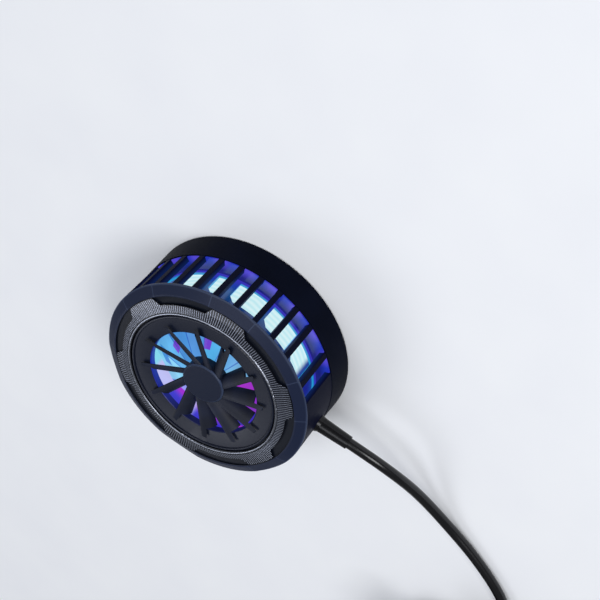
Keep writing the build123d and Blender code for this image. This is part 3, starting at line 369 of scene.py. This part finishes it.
# Polycarbonate deck with painted lamp light: violet over each lamp, blue between them, darker towards the cage
deckLook = {"tint": "14123C", "roughness": 0.25, "over": "5A4CE2", "between": "2236C4", "inner": "101A66",
            "lamps": 24, "fade": (25.4, 27.6), "leastShare": 0.12, "level": 0.75}
tree, shader, place = startMaterial("deck_lit", "polycarbonateWithPaintedLight",
                                    {"Base Color": toLinear(deckLook["tint"]),
                                     "Roughness": deckLook["roughness"], "IOR": ior["polycarbonate"]})
turns, reach, _ = polarOf(tree, place)
# Painted light: pools of the lamps' light on the deck, fading towards the cage
lampBeat = addNode(tree, "ShaderNodeMath", {1: deckLook["lamps"] * math.tau}, {0: turns},
                   operation="MULTIPLY")
wave = addNode(tree, "ShaderNodeMath", links={0: lampBeat.outputs[0]}, operation="COSINE")
glow = addNode(tree, "ShaderNodeMapRange", {"From Min": -1.0, "From Max": 1.0}, {"Value": wave.outputs[0]})
ramp = addNode(tree, "ShaderNodeValToRGB", links={"Fac": glow.outputs["Result"]})
setRamp(ramp, [(0.1, toLinear(deckLook["over"])), (0.9, toLinear(deckLook["between"]))])
fadeStart, fadeEnd = deckLook["fade"]
edge = addNode(tree, "ShaderNodeMapRange",
               {"From Min": fadeStart * mm, "From Max": fadeEnd * mm, "To Min": deckLook["leastShare"]},
               {"Value": reach})
shade = addNode(tree, "ShaderNodeMix", {"A": toLinear(deckLook["inner"])},
                {"Factor": edge.outputs["Result"], "B": ramp.outputs["Color"]}, data_type="RGBA")
setGlow(tree, shader, shade.outputs["Result"], deckLook["level"])

# Tinted polycarbonate cage: navy, with painted light on its skin and cyan painted light on its cut edges
cageLook = {"tint": "050A20", "roughness": 0.22, "heights": (8.8, 17.2), "level": 0.8,
            "skin": [(0.0, "3F36C8"), (0.3, "1B3FB0"), (0.6, "125394"), (1.0, "0C3470")],  # foot to top
            "depths": (24.15, 23.4), "cut": [(0.1, "1E7FD0"), (1.0, "2FB6E8")],  # from the face in
            "blend": 0.3}
tree, shader, place = startMaterial("cage_tinted", "tintedPolycarbonateWithPaintedLight",
                                    {"Base Color": toLinear(cageLook["tint"]),
                                     "Roughness": cageLook["roughness"], "IOR": ior["polycarbonate"]})
_, reach, height = polarOf(tree, place)
low, high = cageLook["heights"]
# Painted light: the skin glows violet at the foot, through blue to navy at the top
climb = addNode(tree, "ShaderNodeMapRange", {"From Min": low * mm, "From Max": high * mm},
                {"Value": height})
skin = addNode(tree, "ShaderNodeValToRGB", links={"Fac": climb.outputs["Result"]})
setRamp(skin, [(share, toLinear(tint)) for share, tint in cageLook["skin"]])
near, far = cageLook["depths"]
# Painted light: the cut edges glow cyan, deeper in from the face
depth = addNode(tree, "ShaderNodeMapRange", {"From Min": near * mm, "From Max": far * mm},
                {"Value": reach})
cut = addNode(tree, "ShaderNodeValToRGB", links={"Fac": depth.outputs["Result"]})
setRamp(cut, [(share, toLinear(tint)) for share, tint in cageLook["cut"]])
inCut = addNode(tree, "ShaderNodeMapRange", {"From Min": 0.0, "From Max": cageLook["blend"]},
                {"Value": depth.outputs["Result"]})
shade = addNode(tree, "ShaderNodeMix",
                links={"Factor": inCut.outputs["Result"], "A": skin.outputs["Color"],
                       "B": cut.outputs["Color"]}, data_type="RGBA")
setGlow(tree, shader, shade.outputs["Result"], cageLook["level"])

# Opal polycarbonate diffuser: cyan white in soft bands outside, with painted shade round the cord's side and
# near 150 degrees, and violet to blue on its inner face, with a painted highlight in pale patches and a cyan
# patch; masks and patches go by turns round the axis
panelLook = {"tint": "1E4458", "roughness": 0.5, "level": 0.92, "heights": (8.8, 16.8),
             "insideReach": 22.65, "bandMm": 1.5, "warpScale": 130.0, "warp": 9.0, "dark": "1B1F86",
             "bands": [(0.0, "C2ECF0"), (0.5, "D0F1F3"), (1.0, "DCF6F6")],
             "lit": [(0.0, 0.0), (0.098, 0.0), (0.108, 1.0), (0.385, 1.0), (0.395, 0.08), (0.43, 0.08),
                     (0.44, 1.0), (0.89, 1.0), (0.9, 0.0)],
             "inside": [(0.0, "B02CDA"), (0.36, "A42ED2"), (0.48, "6A34D0"), (0.6, "3E30C8"),
                        (1.0, "2A22B0")],
             "patches": {"C4C2F6": [(0.615, 0.0), (0.622, 1.0), (0.667, 1.0), (0.68, 0.0), (0.715, 0.0),
                                    (0.722, 0.8), (0.731, 0.8), (0.74, 0.0)],
                         "8ADDF0": [(0.57, 0.0), (0.582, 1.0), (0.62, 1.0), (0.628, 0.0)]}}
tree, shader, place = startMaterial("panel_lit", "opalPolycarbonate",
                                    {"Base Color": toLinear(panelLook["tint"]),
                                     "Roughness": panelLook["roughness"], "IOR": ior["polycarbonate"]})
turns, reach, height = polarOf(tree, place)
phase = addNode(tree, "ShaderNodeTexNoise", {"Scale": panelLook["warpScale"], "Detail": 1.0},
                {"Vector": place})
along = addNode(tree, "ShaderNodeMath", {1: math.tau / (panelLook["bandMm"] * mm)}, {0: height},
                operation="MULTIPLY")
warped = addNode(tree, "ShaderNodeMath", {1: panelLook["warp"]},
                 {0: phase.outputs["Fac"], 2: along.outputs[0]}, operation="MULTIPLY_ADD")
wave = addNode(tree, "ShaderNodeMath", links={0: warped.outputs[0]}, operation="SINE")
bands = addNode(tree, "ShaderNodeMapRange", {"From Min": -1.0, "From Max": 1.0},
                {"Value": wave.outputs[0]})
ramp = addNode(tree, "ShaderNodeValToRGB", links={"Fac": bands.outputs["Result"]})
setRamp(ramp, [(share, toLinear(tint)) for share, tint in panelLook["bands"]])
# Painted shade: the outside is dimmed round the cord's side and near 150 degrees
lit = addNode(tree, "ShaderNodeValToRGB", links={"Fac": turns})
setRamp(lit, [(share, grey(level)) for share, level in panelLook["lit"]])
outer = addNode(tree, "ShaderNodeMix", {"A": toLinear(panelLook["dark"])},
                {"Factor": lit.outputs["Color"], "B": ramp.outputs["Color"]}, data_type="RGBA")
low, high = panelLook["heights"]
climb = addNode(tree, "ShaderNodeMapRange", {"From Min": low * mm, "From Max": high * mm},
                {"Value": height})
inner = addNode(tree, "ShaderNodeValToRGB", links={"Fac": climb.outputs["Result"]})
setRamp(inner, [(share, toLinear(tint)) for share, tint in panelLook["inside"]])
innerTint = inner.outputs["Color"]
# Patches on the inner face: the pale one is a painted highlight, the other is cyan
for tint, stops in panelLook["patches"].items():
    patch = addNode(tree, "ShaderNodeValToRGB", links={"Fac": turns})
    setRamp(patch, [(share, grey(level)) for share, level in stops])
    mix = addNode(tree, "ShaderNodeMix", {"B": toLinear(tint)},
                  {"Factor": patch.outputs["Color"], "A": innerTint}, data_type="RGBA")
    innerTint = mix.outputs["Result"]
isInner = addNode(tree, "ShaderNodeMath", {1: panelLook["insideReach"] * mm}, {0: reach},
                  operation="LESS_THAN")
faceTint = addNode(tree, "ShaderNodeMix",
                   links={"Factor": isInner.outputs[0], "A": outer.outputs["Result"], "B": innerTint},
                   data_type="RGBA")
setGlow(tree, shader, faceTint.outputs["Result"], panelLook["level"])

# Frosted polycarbonate cone: each flat glows its own tint, its creases are deeper blue, and small violet
# and blue patches show; a patch is its angle and half angle in degrees, then reach and half width in mm
coneLook = {"tint": "0A2A52", "roughness": 0.45, "level": 0.92, "creaseShare": 0.045,
            "creaseTint": "1F4FC0",
            "flats": ["B52BD8", "7FC2F0", "6FB8F0", "58B8F0", "5EA2EA", "52A0E8",
                      "66B8F0", "86D6F4", "9AA6F4", "4034C0", "3D2BB4", "9A2CD0"],
            "patches": [(181, 6.5, 11.3, 1.3, "7A3AD6"), (113.7, 6.0, 9.4, 1.3, "7A3AD6"),
                        (150, 3.0, 13.5, 1.2, "7A3AD6"), (213, 9.0, 17.0, 1.6, "2F86D6"),
                        (75, 8.0, 14.5, 1.2, "2F86D6")],
            "cloudScale": 160.0, "cloudSpan": (0.3, 0.7), "cloudTint": "0E2C70", "cloudLeast": 0.7}
tree, shader, place = startMaterial("deflector_lit", "frostedPolycarbonate",
                                    {"Base Color": toLinear(coneLook["tint"]),
                                     "Roughness": coneLook["roughness"], "IOR": ior["polycarbonate"]})
turns, reach, _ = polarOf(tree, place)
flats = len(coneLook["flats"])
ramp = addNode(tree, "ShaderNodeValToRGB", links={"Fac": turns})
stops = [(number / flats, toLinear(tint)) for number, tint in enumerate(coneLook["flats"])]
setRamp(ramp, stops, "CONSTANT")
coneTint = ramp.outputs["Color"]
for angle, halfAngle, middle, halfWidth, tint in coneLook["patches"]:
    inAngle = addNode(tree, "ShaderNodeMath", {1: angle / 360, 2: halfAngle / 360}, {0: turns},
                      operation="COMPARE")
    inReach = addNode(tree, "ShaderNodeMath", {1: middle * mm, 2: halfWidth * mm}, {0: reach},
                      operation="COMPARE")
    both = addNode(tree, "ShaderNodeMath", links={0: inAngle.outputs[0], 1: inReach.outputs[0]},
                   operation="MULTIPLY")
    mix = addNode(tree, "ShaderNodeMix", {"B": toLinear(tint)}, {"Factor": both.outputs[0], "A": coneTint},
                  data_type="RGBA")
    coneTint = mix.outputs["Result"]
flatShare = addNode(tree, "ShaderNodeMath", {1: float(flats)}, {0: turns}, operation="MULTIPLY")
within = addNode(tree, "ShaderNodeMath", links={0: flatShare.outputs[0]}, operation="FRACT")
folded = addNode(tree, "ShaderNodeMath", {1: 0.5}, {0: within.outputs[0]}, operation="SUBTRACT")
towards = addNode(tree, "ShaderNodeMath", links={0: folded.outputs[0]}, operation="ABSOLUTE")
crease = addNode(tree, "ShaderNodeMapRange", {"From Min": 0.5 - coneLook["creaseShare"], "From Max": 0.5},
                 {"Value": towards.outputs[0]})
shade = addNode(tree, "ShaderNodeMix", {"B": toLinear(coneLook["creaseTint"])},
                {"Factor": crease.outputs["Result"], "A": coneTint}, data_type="RGBA")
cloud = addNode(tree, "ShaderNodeTexNoise", {"Scale": coneLook["cloudScale"], "Detail": 1.0},
                {"Vector": place})
low, high = coneLook["cloudSpan"]
dim = addNode(tree, "ShaderNodeMapRange",
              {"From Min": low, "From Max": high, "To Min": coneLook["cloudLeast"]},
              {"Value": cloud.outputs["Fac"]})
clouded = addNode(tree, "ShaderNodeMix", {"A": toLinear(coneLook["cloudTint"])},
                  {"Factor": dim.outputs["Result"], "B": shade.outputs["Result"]}, data_type="RGBA")
setGlow(tree, shader, clouded.outputs["Result"], coneLook["level"])

# Clear epoxy over the lamp dies: a hot, slightly uneven white blue
lampLook = {"tint": "E8F4FF", "roughness": 0.2, "scale": 900.0, "dim": "9ADBFF", "hot": "E6FAFF",
            "level": 2.5}
tree, shader, place = startMaterial("lamp_lit", "clearEpoxy",
                                    {"Base Color": toLinear(lampLook["tint"]),
                                     "Roughness": lampLook["roughness"]})
spot = addNode(tree, "ShaderNodeTexNoise", {"Scale": lampLook["scale"]}, {"Vector": place})
ramp = addNode(tree, "ShaderNodeValToRGB", links={"Fac": spot.outputs["Fac"]})
setRamp(ramp, [(0.3, toLinear(lampLook["dim"])), (0.7, toLinear(lampLook["hot"]))])
setGlow(tree, shader, ramp.outputs["Color"], lampLook["level"])

# Extruded elastomer cord jacket: black, with a sheen that runs along the cord
cordLook = {"tint": "050508", "specular": 0.45, "grain": (0.6, 0.004, 0.2, 0.28)}
tree, shader, place = startMaterial("cord_black", "extrudedElastomer",
                                    {"Base Color": toLinear(cordLook["tint"]), "IOR": ior["elastomer"],
                                     "Specular IOR Level": cordLook["specular"]})
addGrain(tree, shader, place, *cordLook["grain"])

# The rest, mostly inside, in three groups. A group has one grain, by its size and depth in mm, and each
# of its materials a name and a tint, then the roughness low and high
rubberGrain, plasticGrain, metalGrain = (0.4, 0.012), (0.4, 0.006), (0.3, 0.004)

# Moulded rubbers and foam: dull, with a fine bloom, and the relief smoother than the rest
rubberSpecular = 0.35
rubbers = {"relief_rubber": ("mouldedElastomer", "060609", 0.22, 0.3),
           "tie_black": ("mouldedStrapRubber", "151619", 0.55, 0.7),
           "pad_silicone": ("greySilicone", "232427", 0.5, 0.65),
           "foam_black": ("closedCellFoam", "242424", 0.8, 0.95)}
for slot, (name, tint, low, high) in rubbers.items():
    tree, shader, place = startMaterial(slot, name, {"Base Color": toLinear(tint), "IOR": ior["silicone"],
                                                     "Specular IOR Level": rubberSpecular})
    addGrain(tree, shader, place, *rubberGrain, low, high)

# Plastics, moulded or coated on: a low satin gloss, lowest on the chips and highest on the solder masks
plastics = {"plug_black": ("mouldedPolyester", "101113", 0.38, 0.5),
            "tongue_black": ("mouldedPolyamide", "101012", 0.4, 0.5),
            "chip_epoxy": ("filledEpoxy", "1A1A1D", 0.5, 0.65),
            "board_green": ("greenSolderMask", "0F4A2C", 0.3, 0.42),
            "board_white": ("whiteSolderMask", "E3E6E8", 0.3, 0.42),
            "nylon_white": ("naturalNylon", "E6E3D8", 0.45, 0.6)}
for slot, (name, tint, low, high) in plastics.items():
    tree, shader, place = startMaterial(slot, name, {"Base Color": toLinear(tint), "IOR": ior["abs"]})
    addGrain(tree, shader, place, *plasticGrain, low, high)

# Metals and ceramics: bright where ground or plated, duller where extruded, pressed, sintered or fired
worked = {"cold_aluminium": ("anodisedAluminium", "C9CBD0", 1.0, 0.28, 0.4),
          "sink_aluminium": ("extrudedAluminium", "C0C2C7", 1.0, 0.35, 0.5),
          "magnet_nickel": ("nickelPlate", "C6C4BE", 1.0, 0.15, 0.25),
          "plated_steel": ("zincPlatedSteel", "A9AAAC", 1.0, 0.3, 0.42),
          "screw_steel": ("stainlessScrewSteel", "9D9EA1", 1.0, 0.25, 0.38),
          "shaft_steel": ("groundSteel", "C8C9CC", 1.0, 0.12, 0.2),
          "tube_brass": ("turnedBrass", "C9A765", 1.0, 0.3, 0.42),
          "bearing_bronze": ("sinteredBronze", "A67C4A", 1.0, 0.4, 0.55),
          "lamination_steel": ("stampedSteel", "7E8084", 1.0, 0.4, 0.55),
          "winding_copper": ("enamelledCopper", "B5653A", 1.0, 0.22, 0.34),
          "shell_nickel": ("nickelledSteel", "C4C5C8", 1.0, 0.18, 0.28),
          "alumina": ("firedAlumina", "EDECE6", 0.0, 0.5, 0.62),
          "pellet_alloy": ("pressedTelluride", "77777A", 0.8, 0.5, 0.62),
          "ferrite": ("pressedFerrite", "2A2A2C", 0.0, 0.55, 0.7)}
for slot, (name, tint, metal, low, high) in worked.items():
    tree, shader, place = startMaterial(slot, name, {"Base Color": toLinear(tint), "Metallic": metal})
    addGrain(tree, shader, place, *metalGrain, low, high)

slotOf = {entry["node"]: entry["material_slot"] for entry in frame["record"]["subparts"]}
for name, holder in nodes.items():
    holder.data.materials.clear()
    holder.data.materials.append(made[slotOf[name]])
supplyCord.data.materials.append(made["cord_black"])
print("materials made:", len(made))

# Pieces that show take the solid's shape, with merged faces, soft edges and smooth curves
dressShape = {"weldMm": 0.002, "flatAngle": 0.5, "edgeAngle": 28, "segments": 2,  # angles in degrees
              # each piece's body and its bevel in mm
              "bevels": {"front_bezel": ("housing", 0.08), "slotted_band": ("housing", 0.1),
                         "rear_housing": ("housing", 0.12), "front_plate": ("housing", 0.06),
                         "impeller": ("rotor", 0.08), "hub_cap": ("rotor", 0.08),
                         "trim_ring": ("housing", 0.0), "light_cage": ("housing", 0.08)}}
edgeAngle = math.radians(dressShape["edgeAngle"])
flatAngle = math.radians(dressShape["flatAngle"])
for name, (body, bevelMm) in dressShape["bevels"].items():
    mesh = nodes[name].data.copy()
    mesh.name = name + "Dressed"
    work = bmesh.new()
    work.from_mesh(mesh)
    bmesh.ops.remove_doubles(work, verts=work.verts, dist=dressShape["weldMm"] * mm)
    bmesh.ops.dissolve_limit(work, angle_limit=flatAngle, verts=work.verts, edges=work.edges)
    bmesh.ops.recalc_face_normals(work, faces=work.faces)
    work.to_mesh(mesh)
    work.free()
    piece = bpy.data.objects.new(name + "Dressed", mesh)
    bpy.context.scene.collection.objects.link(piece)
    if bevelMm:
        bevel = piece.modifiers.new("softEdges", "BEVEL")
        bevel.width = bevelMm * mm
        bevel.segments = dressShape["segments"]
        bevel.limit_method = "ANGLE"
        bevel.angle_limit = edgeAngle
        bevel.harden_normals = True
    for face in mesh.polygons:
        face.use_smooth = True
    mesh.set_sharp_from_angle(angle=edgeAngle)
    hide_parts(name)
    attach(piece, body)
print("dressed:", len(dressShape["bevels"]))


def growPiece(name, inputs, build):  # runs a tree with named inputs once and keeps a plain mesh
    tree = bpy.data.node_groups.new(name, "GeometryNodeTree")
    tree.interface.new_socket("Geometry", in_out="OUTPUT", socket_type="NodeSocketGeometry")
    sockets = {}
    for label, (kind, value) in inputs.items():
        socket = tree.interface.new_socket(label, in_out="INPUT", socket_type="NodeSocket" + kind)
        socket.default_value = value
        sockets[label] = socket.identifier
    given = addNode(tree, "NodeGroupInput")
    finish = addNode(tree, "GeometryNodeSetMaterial",
                     links={"Geometry": build(tree, given), "Material": given.outputs["Finish"]})
    addNode(tree, "NodeGroupOutput", links={0: finish.outputs["Geometry"]})
    holder = bpy.data.objects.new(name, bpy.data.meshes.new(name))
    bpy.context.scene.collection.objects.link(holder)
    grow = holder.modifiers.new("grow", "NODES")
    grow.node_group = tree
    for label, (_, value) in inputs.items():
        grow[sockets[label]] = value
    bpy.context.view_layer.update()
    result = bpy.data.meshes.new_from_object(holder.evaluated_get(bpy.context.evaluated_depsgraph_get()))
    holder.modifiers.clear()
    holder.data = result
    return holder


# Fine ribs on the ribbed ring: long over its six lobes, short between them
ribShape = {"count": 240, "width": 0.2, "height": 0.1, "topShare": 0.45, "inner": 21.5, "shoulder": 23.3,
            "lobeReach": 25.25, "plainReach": 23.2, "tops": (23.2, 22.7, 22.5), "pieces": 9,
            "lobes": 6, "lobeFirst": 30.0, "lobeHalf": 10.0, "rootHalf": 14.0}  # lobe angles in degrees
lobeAngle = 360 / ribShape["lobes"]


def buildRibs(tree, given):
    bar = addNode(tree, "GeometryNodeMeshCube", {"Vertices X": ribShape["pieces"], "Vertices Y": 2,
                                                 "Vertices Z": 2, "Size": (1.0, 1.0, 1.0)})
    barPlace = addNode(tree, "GeometryNodeInputPosition")
    across = addNode(tree, "ShaderNodeSeparateXYZ", links={0: barPlace.outputs[0]})
    # The rib's top is narrower than its foot
    taper = addNode(tree, "ShaderNodeMapRange",
                    {"From Min": -0.5, "From Max": 0.5, "To Min": 1.0, "To Max": ribShape["topShare"]},
                    {"Value": across.outputs["Z"]})
    slim = addNode(tree, "ShaderNodeMath", links={0: across.outputs["Y"], 1: taper.outputs["Result"]},
                   operation="MULTIPLY")
    slimPlace = addNode(tree, "ShaderNodeCombineXYZ",
                        links={"X": across.outputs["X"], "Y": slim.outputs[0], "Z": across.outputs["Z"]})
    shaped = addNode(tree, "GeometryNodeSetPosition",
                     links={"Geometry": bar.outputs["Mesh"], "Position": slimPlace.outputs[0]})
    line = addNode(tree, "GeometryNodeMeshLine", {"Offset": (0, 0, 0)}, {"Count": given.outputs["Count"]})
    index = addNode(tree, "GeometryNodeInputIndex")
    step = addNode(tree, "ShaderNodeMath", {0: math.tau}, {1: given.outputs["Count"]}, operation="DIVIDE")
    angle = addNode(tree, "ShaderNodeMath", links={0: index.outputs[0], 1: step.outputs[0]},
                    operation="MULTIPLY")
    # How far each rib reaches: out to the lobe's edge, or to the plain ring
    lobeTurns = addNode(tree, "ShaderNodeMath",
                        {1: ribShape["lobes"] / math.tau, 2: 0.5 - ribShape["lobeFirst"] / lobeAngle},
                        {0: angle.outputs[0]}, operation="MULTIPLY_ADD")
    lobeShare = addNode(tree, "ShaderNodeMath", links={0: lobeTurns.outputs[0]}, operation="FRACT")
    lobeOff = addNode(tree, "ShaderNodeMath", {1: 0.5}, {0: lobeShare.outputs[0]}, operation="SUBTRACT")
    lobeAside = addNode(tree, "ShaderNodeMath", links={0: lobeOff.outputs[0]}, operation="ABSOLUTE")
    lobeEdge, lobeRoot = ribShape["lobeHalf"] / lobeAngle, ribShape["rootHalf"] / lobeAngle
    outer = addNode(tree, "ShaderNodeMapRange",
                    {"From Min": lobeEdge, "From Max": lobeRoot, "To Min": ribShape["lobeReach"] * mm,
                     "To Max": ribShape["plainReach"] * mm}, {"Value": lobeAside.outputs[0]})
    length = addNode(tree, "ShaderNodeMath", {1: ribShape["inner"] * mm}, {0: outer.outputs["Result"]},
                     operation="SUBTRACT")
    middle = addNode(tree, "ShaderNodeMath", {1: 0.5, 2: ribShape["inner"] * mm}, {0: length.outputs[0]},
                     operation="MULTIPLY_ADD")
    size = addNode(tree, "ShaderNodeCombineXYZ",
                   links={"X": length.outputs[0], "Y": given.outputs["Width"], "Z": given.outputs["Height"]})
    cosine = addNode(tree, "ShaderNodeMath", links={0: angle.outputs[0]}, operation="COSINE")
    sine = addNode(tree, "ShaderNodeMath", links={0: angle.outputs[0]}, operation="SINE")
    placeX = addNode(tree, "ShaderNodeMath", links={0: cosine.outputs[0], 1: middle.outputs[0]},
                     operation="MULTIPLY")
    placeY = addNode(tree, "ShaderNodeMath", links={0: sine.outputs[0], 1: middle.outputs[0]},
                     operation="MULTIPLY")
    seat = addNode(tree, "ShaderNodeCombineXYZ", links={"X": placeX.outputs[0], "Y": placeY.outputs[0]})
    seated = addNode(tree, "GeometryNodeSetPosition",
                     links={"Geometry": line.outputs["Mesh"], "Position": seat.outputs[0]})
    turn = addNode(tree, "ShaderNodeCombineXYZ", links={"Z": angle.outputs[0]})
    ribs = addNode(tree, "GeometryNodeInstanceOnPoints",
                   links={"Points": seated.outputs["Geometry"], "Instance": shaped.outputs["Geometry"],
                          "Rotation": turn.outputs[0], "Scale": size.outputs[0]})
    real = addNode(tree, "GeometryNodeRealizeInstances", links={"Geometry": ribs.outputs["Instances"]})
    # Each point is then lifted onto the sloping face under it
    spot = addNode(tree, "GeometryNodeInputPosition")
    flat = addNode(tree, "ShaderNodeVectorMath", {1: (1, 1, 0)}, {0: spot.outputs[0]},
                   operation="MULTIPLY")
    reach = addNode(tree, "ShaderNodeVectorMath", links={0: flat.outputs[0]}, operation="LENGTH")
    top, shoulderTop, lobeTop = [height * mm for height in ribShape["tops"]]
    inside = addNode(tree, "ShaderNodeMapRange",
                     {"From Min": ribShape["inner"] * mm, "From Max": ribShape["shoulder"] * mm,
                      "To Min": top, "To Max": shoulderTop}, {"Value": reach.outputs["Value"]})
    outside = addNode(tree, "ShaderNodeMapRange",
                      {"From Min": ribShape["shoulder"] * mm, "From Max": ribShape["lobeReach"] * mm,
                       "To Min": 0.0, "To Max": lobeTop - shoulderTop}, {"Value": reach.outputs["Value"]})
    lift = addNode(tree, "ShaderNodeMath",
                   links={0: inside.outputs["Result"], 1: outside.outputs["Result"]}, operation="ADD")
    raiseBy = addNode(tree, "ShaderNodeCombineXYZ", links={"Z": lift.outputs[0]})
    lifted = addNode(tree, "GeometryNodeSetPosition",
                     links={"Geometry": real.outputs["Geometry"], "Offset": raiseBy.outputs[0]})
    return lifted.outputs["Geometry"]


fineRibs = growPiece("fineRibs", {"Count": ("Int", ribShape["count"]),
                                  "Width": ("Float", ribShape["width"] * mm),
                                  "Height": ("Float", ribShape["height"] * mm),
                                  "Finish": ("Material", made["ribs"])}, buildRibs)
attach(fineRibs, "housing")
print("ribs grown:", len(fineRibs.data.polygons), "faces")

# Clear domes over the lamps
domeShape = {"count": 24, "reach": 24.1, "foot": 7.75, "radius": 0.75, "first": 7.5, "flatShare": 0.5}


def buildDomes(tree, given):
    ring = addNode(tree, "GeometryNodeMeshCircle",
                   links={"Vertices": given.outputs["Count"], "Radius": given.outputs["Ring radius"]})
    spun = addNode(tree, "GeometryNodeTransform",
                   {"Rotation": (0, 0, math.radians(domeShape["first"])),
                    "Translation": (0, 0, domeShape["foot"] * mm)}, {"Geometry": ring.outputs["Mesh"]})
    ball = addNode(tree, "GeometryNodeMeshIcoSphere", {"Subdivisions": 2},
                   {"Radius": given.outputs["Dome radius"]})
    low = addNode(tree, "GeometryNodeTransform", {"Scale": (1, 1, domeShape["flatShare"])},
                  {"Geometry": ball.outputs["Mesh"]})
    domes = addNode(tree, "GeometryNodeInstanceOnPoints",
                    links={"Points": spun.outputs["Geometry"], "Instance": low.outputs["Geometry"]})
    real = addNode(tree, "GeometryNodeRealizeInstances", links={"Geometry": domes.outputs["Instances"]})
    return real.outputs["Geometry"]


lampDomes = growPiece("lampDomes", {"Count": ("Int", domeShape["count"]),
                                    "Ring radius": ("Float", domeShape["reach"] * mm),
                                    "Dome radius": ("Float", domeShape["radius"] * mm),
                                    "Finish": ("Material", made["lamp_lit"])}, buildDomes)
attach(lampDomes, "housing")

# Grip ribs across both broad faces of the plug
gripShape = {"count": 7, "pitch": 1.1, "length": 7.0, "width": 0.5, "height": 0.3, "start": 9.0,
             "sides": 16, "plugEnd": (2.8, -5.325, 18.4), "halfThick": 3.1}


def buildGrips(tree, given):
    pitch = addNode(tree, "ShaderNodeCombineXYZ", links={"X": given.outputs["Pitch"]})
    line = addNode(tree, "GeometryNodeMeshLine",
                   links={"Count": given.outputs["Count"], "Offset": pitch.outputs[0]})
    lathe = addNode(tree, "GeometryNodeMeshCylinder", {"Vertices": gripShape["sides"], "Radius": 0.5,
                                                       "Depth": 1.0})
    lain = addNode(tree, "GeometryNodeTransform", {"Rotation": (math.radians(90), 0, 0)},
                   {"Geometry": lathe.outputs["Mesh"]})
    size = addNode(tree, "ShaderNodeCombineXYZ", {"Z": gripShape["height"] * mm},
                   {"X": given.outputs["Width"], "Y": given.outputs["Length"]})
    ribs = addNode(tree, "GeometryNodeInstanceOnPoints",
                   links={"Points": line.outputs["Mesh"], "Instance": lain.outputs["Geometry"],
                          "Scale": size.outputs[0]})
    real = addNode(tree, "GeometryNodeRealizeInstances", links={"Geometry": ribs.outputs["Instances"]})
    faces = addNode(tree, "GeometryNodeJoinGeometry")
    for side in (-1, 1):
        face = addNode(tree, "GeometryNodeTransform",
                       {"Translation": (0, 0, side * gripShape["halfThick"] * mm)},
                       {"Geometry": real.outputs["Geometry"]})
        tree.links.new(face.outputs["Geometry"], faces.inputs[0])
    ahead, aside, height = gripShape["plugEnd"]
    spot = (coilCentre + coilWay * (ahead - gripShape["start"]) + coilSide * aside) * mm
    placed = addNode(tree, "GeometryNodeTransform",
                     {"Rotation": (0, 0, heading + math.pi), "Translation": (spot.x, spot.y, height * mm)},
                     {"Geometry": faces.outputs[0]})
    return placed.outputs["Geometry"]


plugGrips = growPiece("plugGrips", {"Count": ("Int", gripShape["count"]),
                                    "Pitch": ("Float", gripShape["pitch"] * mm),
                                    "Length": ("Float", gripShape["length"] * mm),
                                    "Width": ("Float", gripShape["width"] * mm),
                                    "Finish": ("Material", made["plug_black"])}, buildGrips)
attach(plugGrips, "housing")
print("details grown")
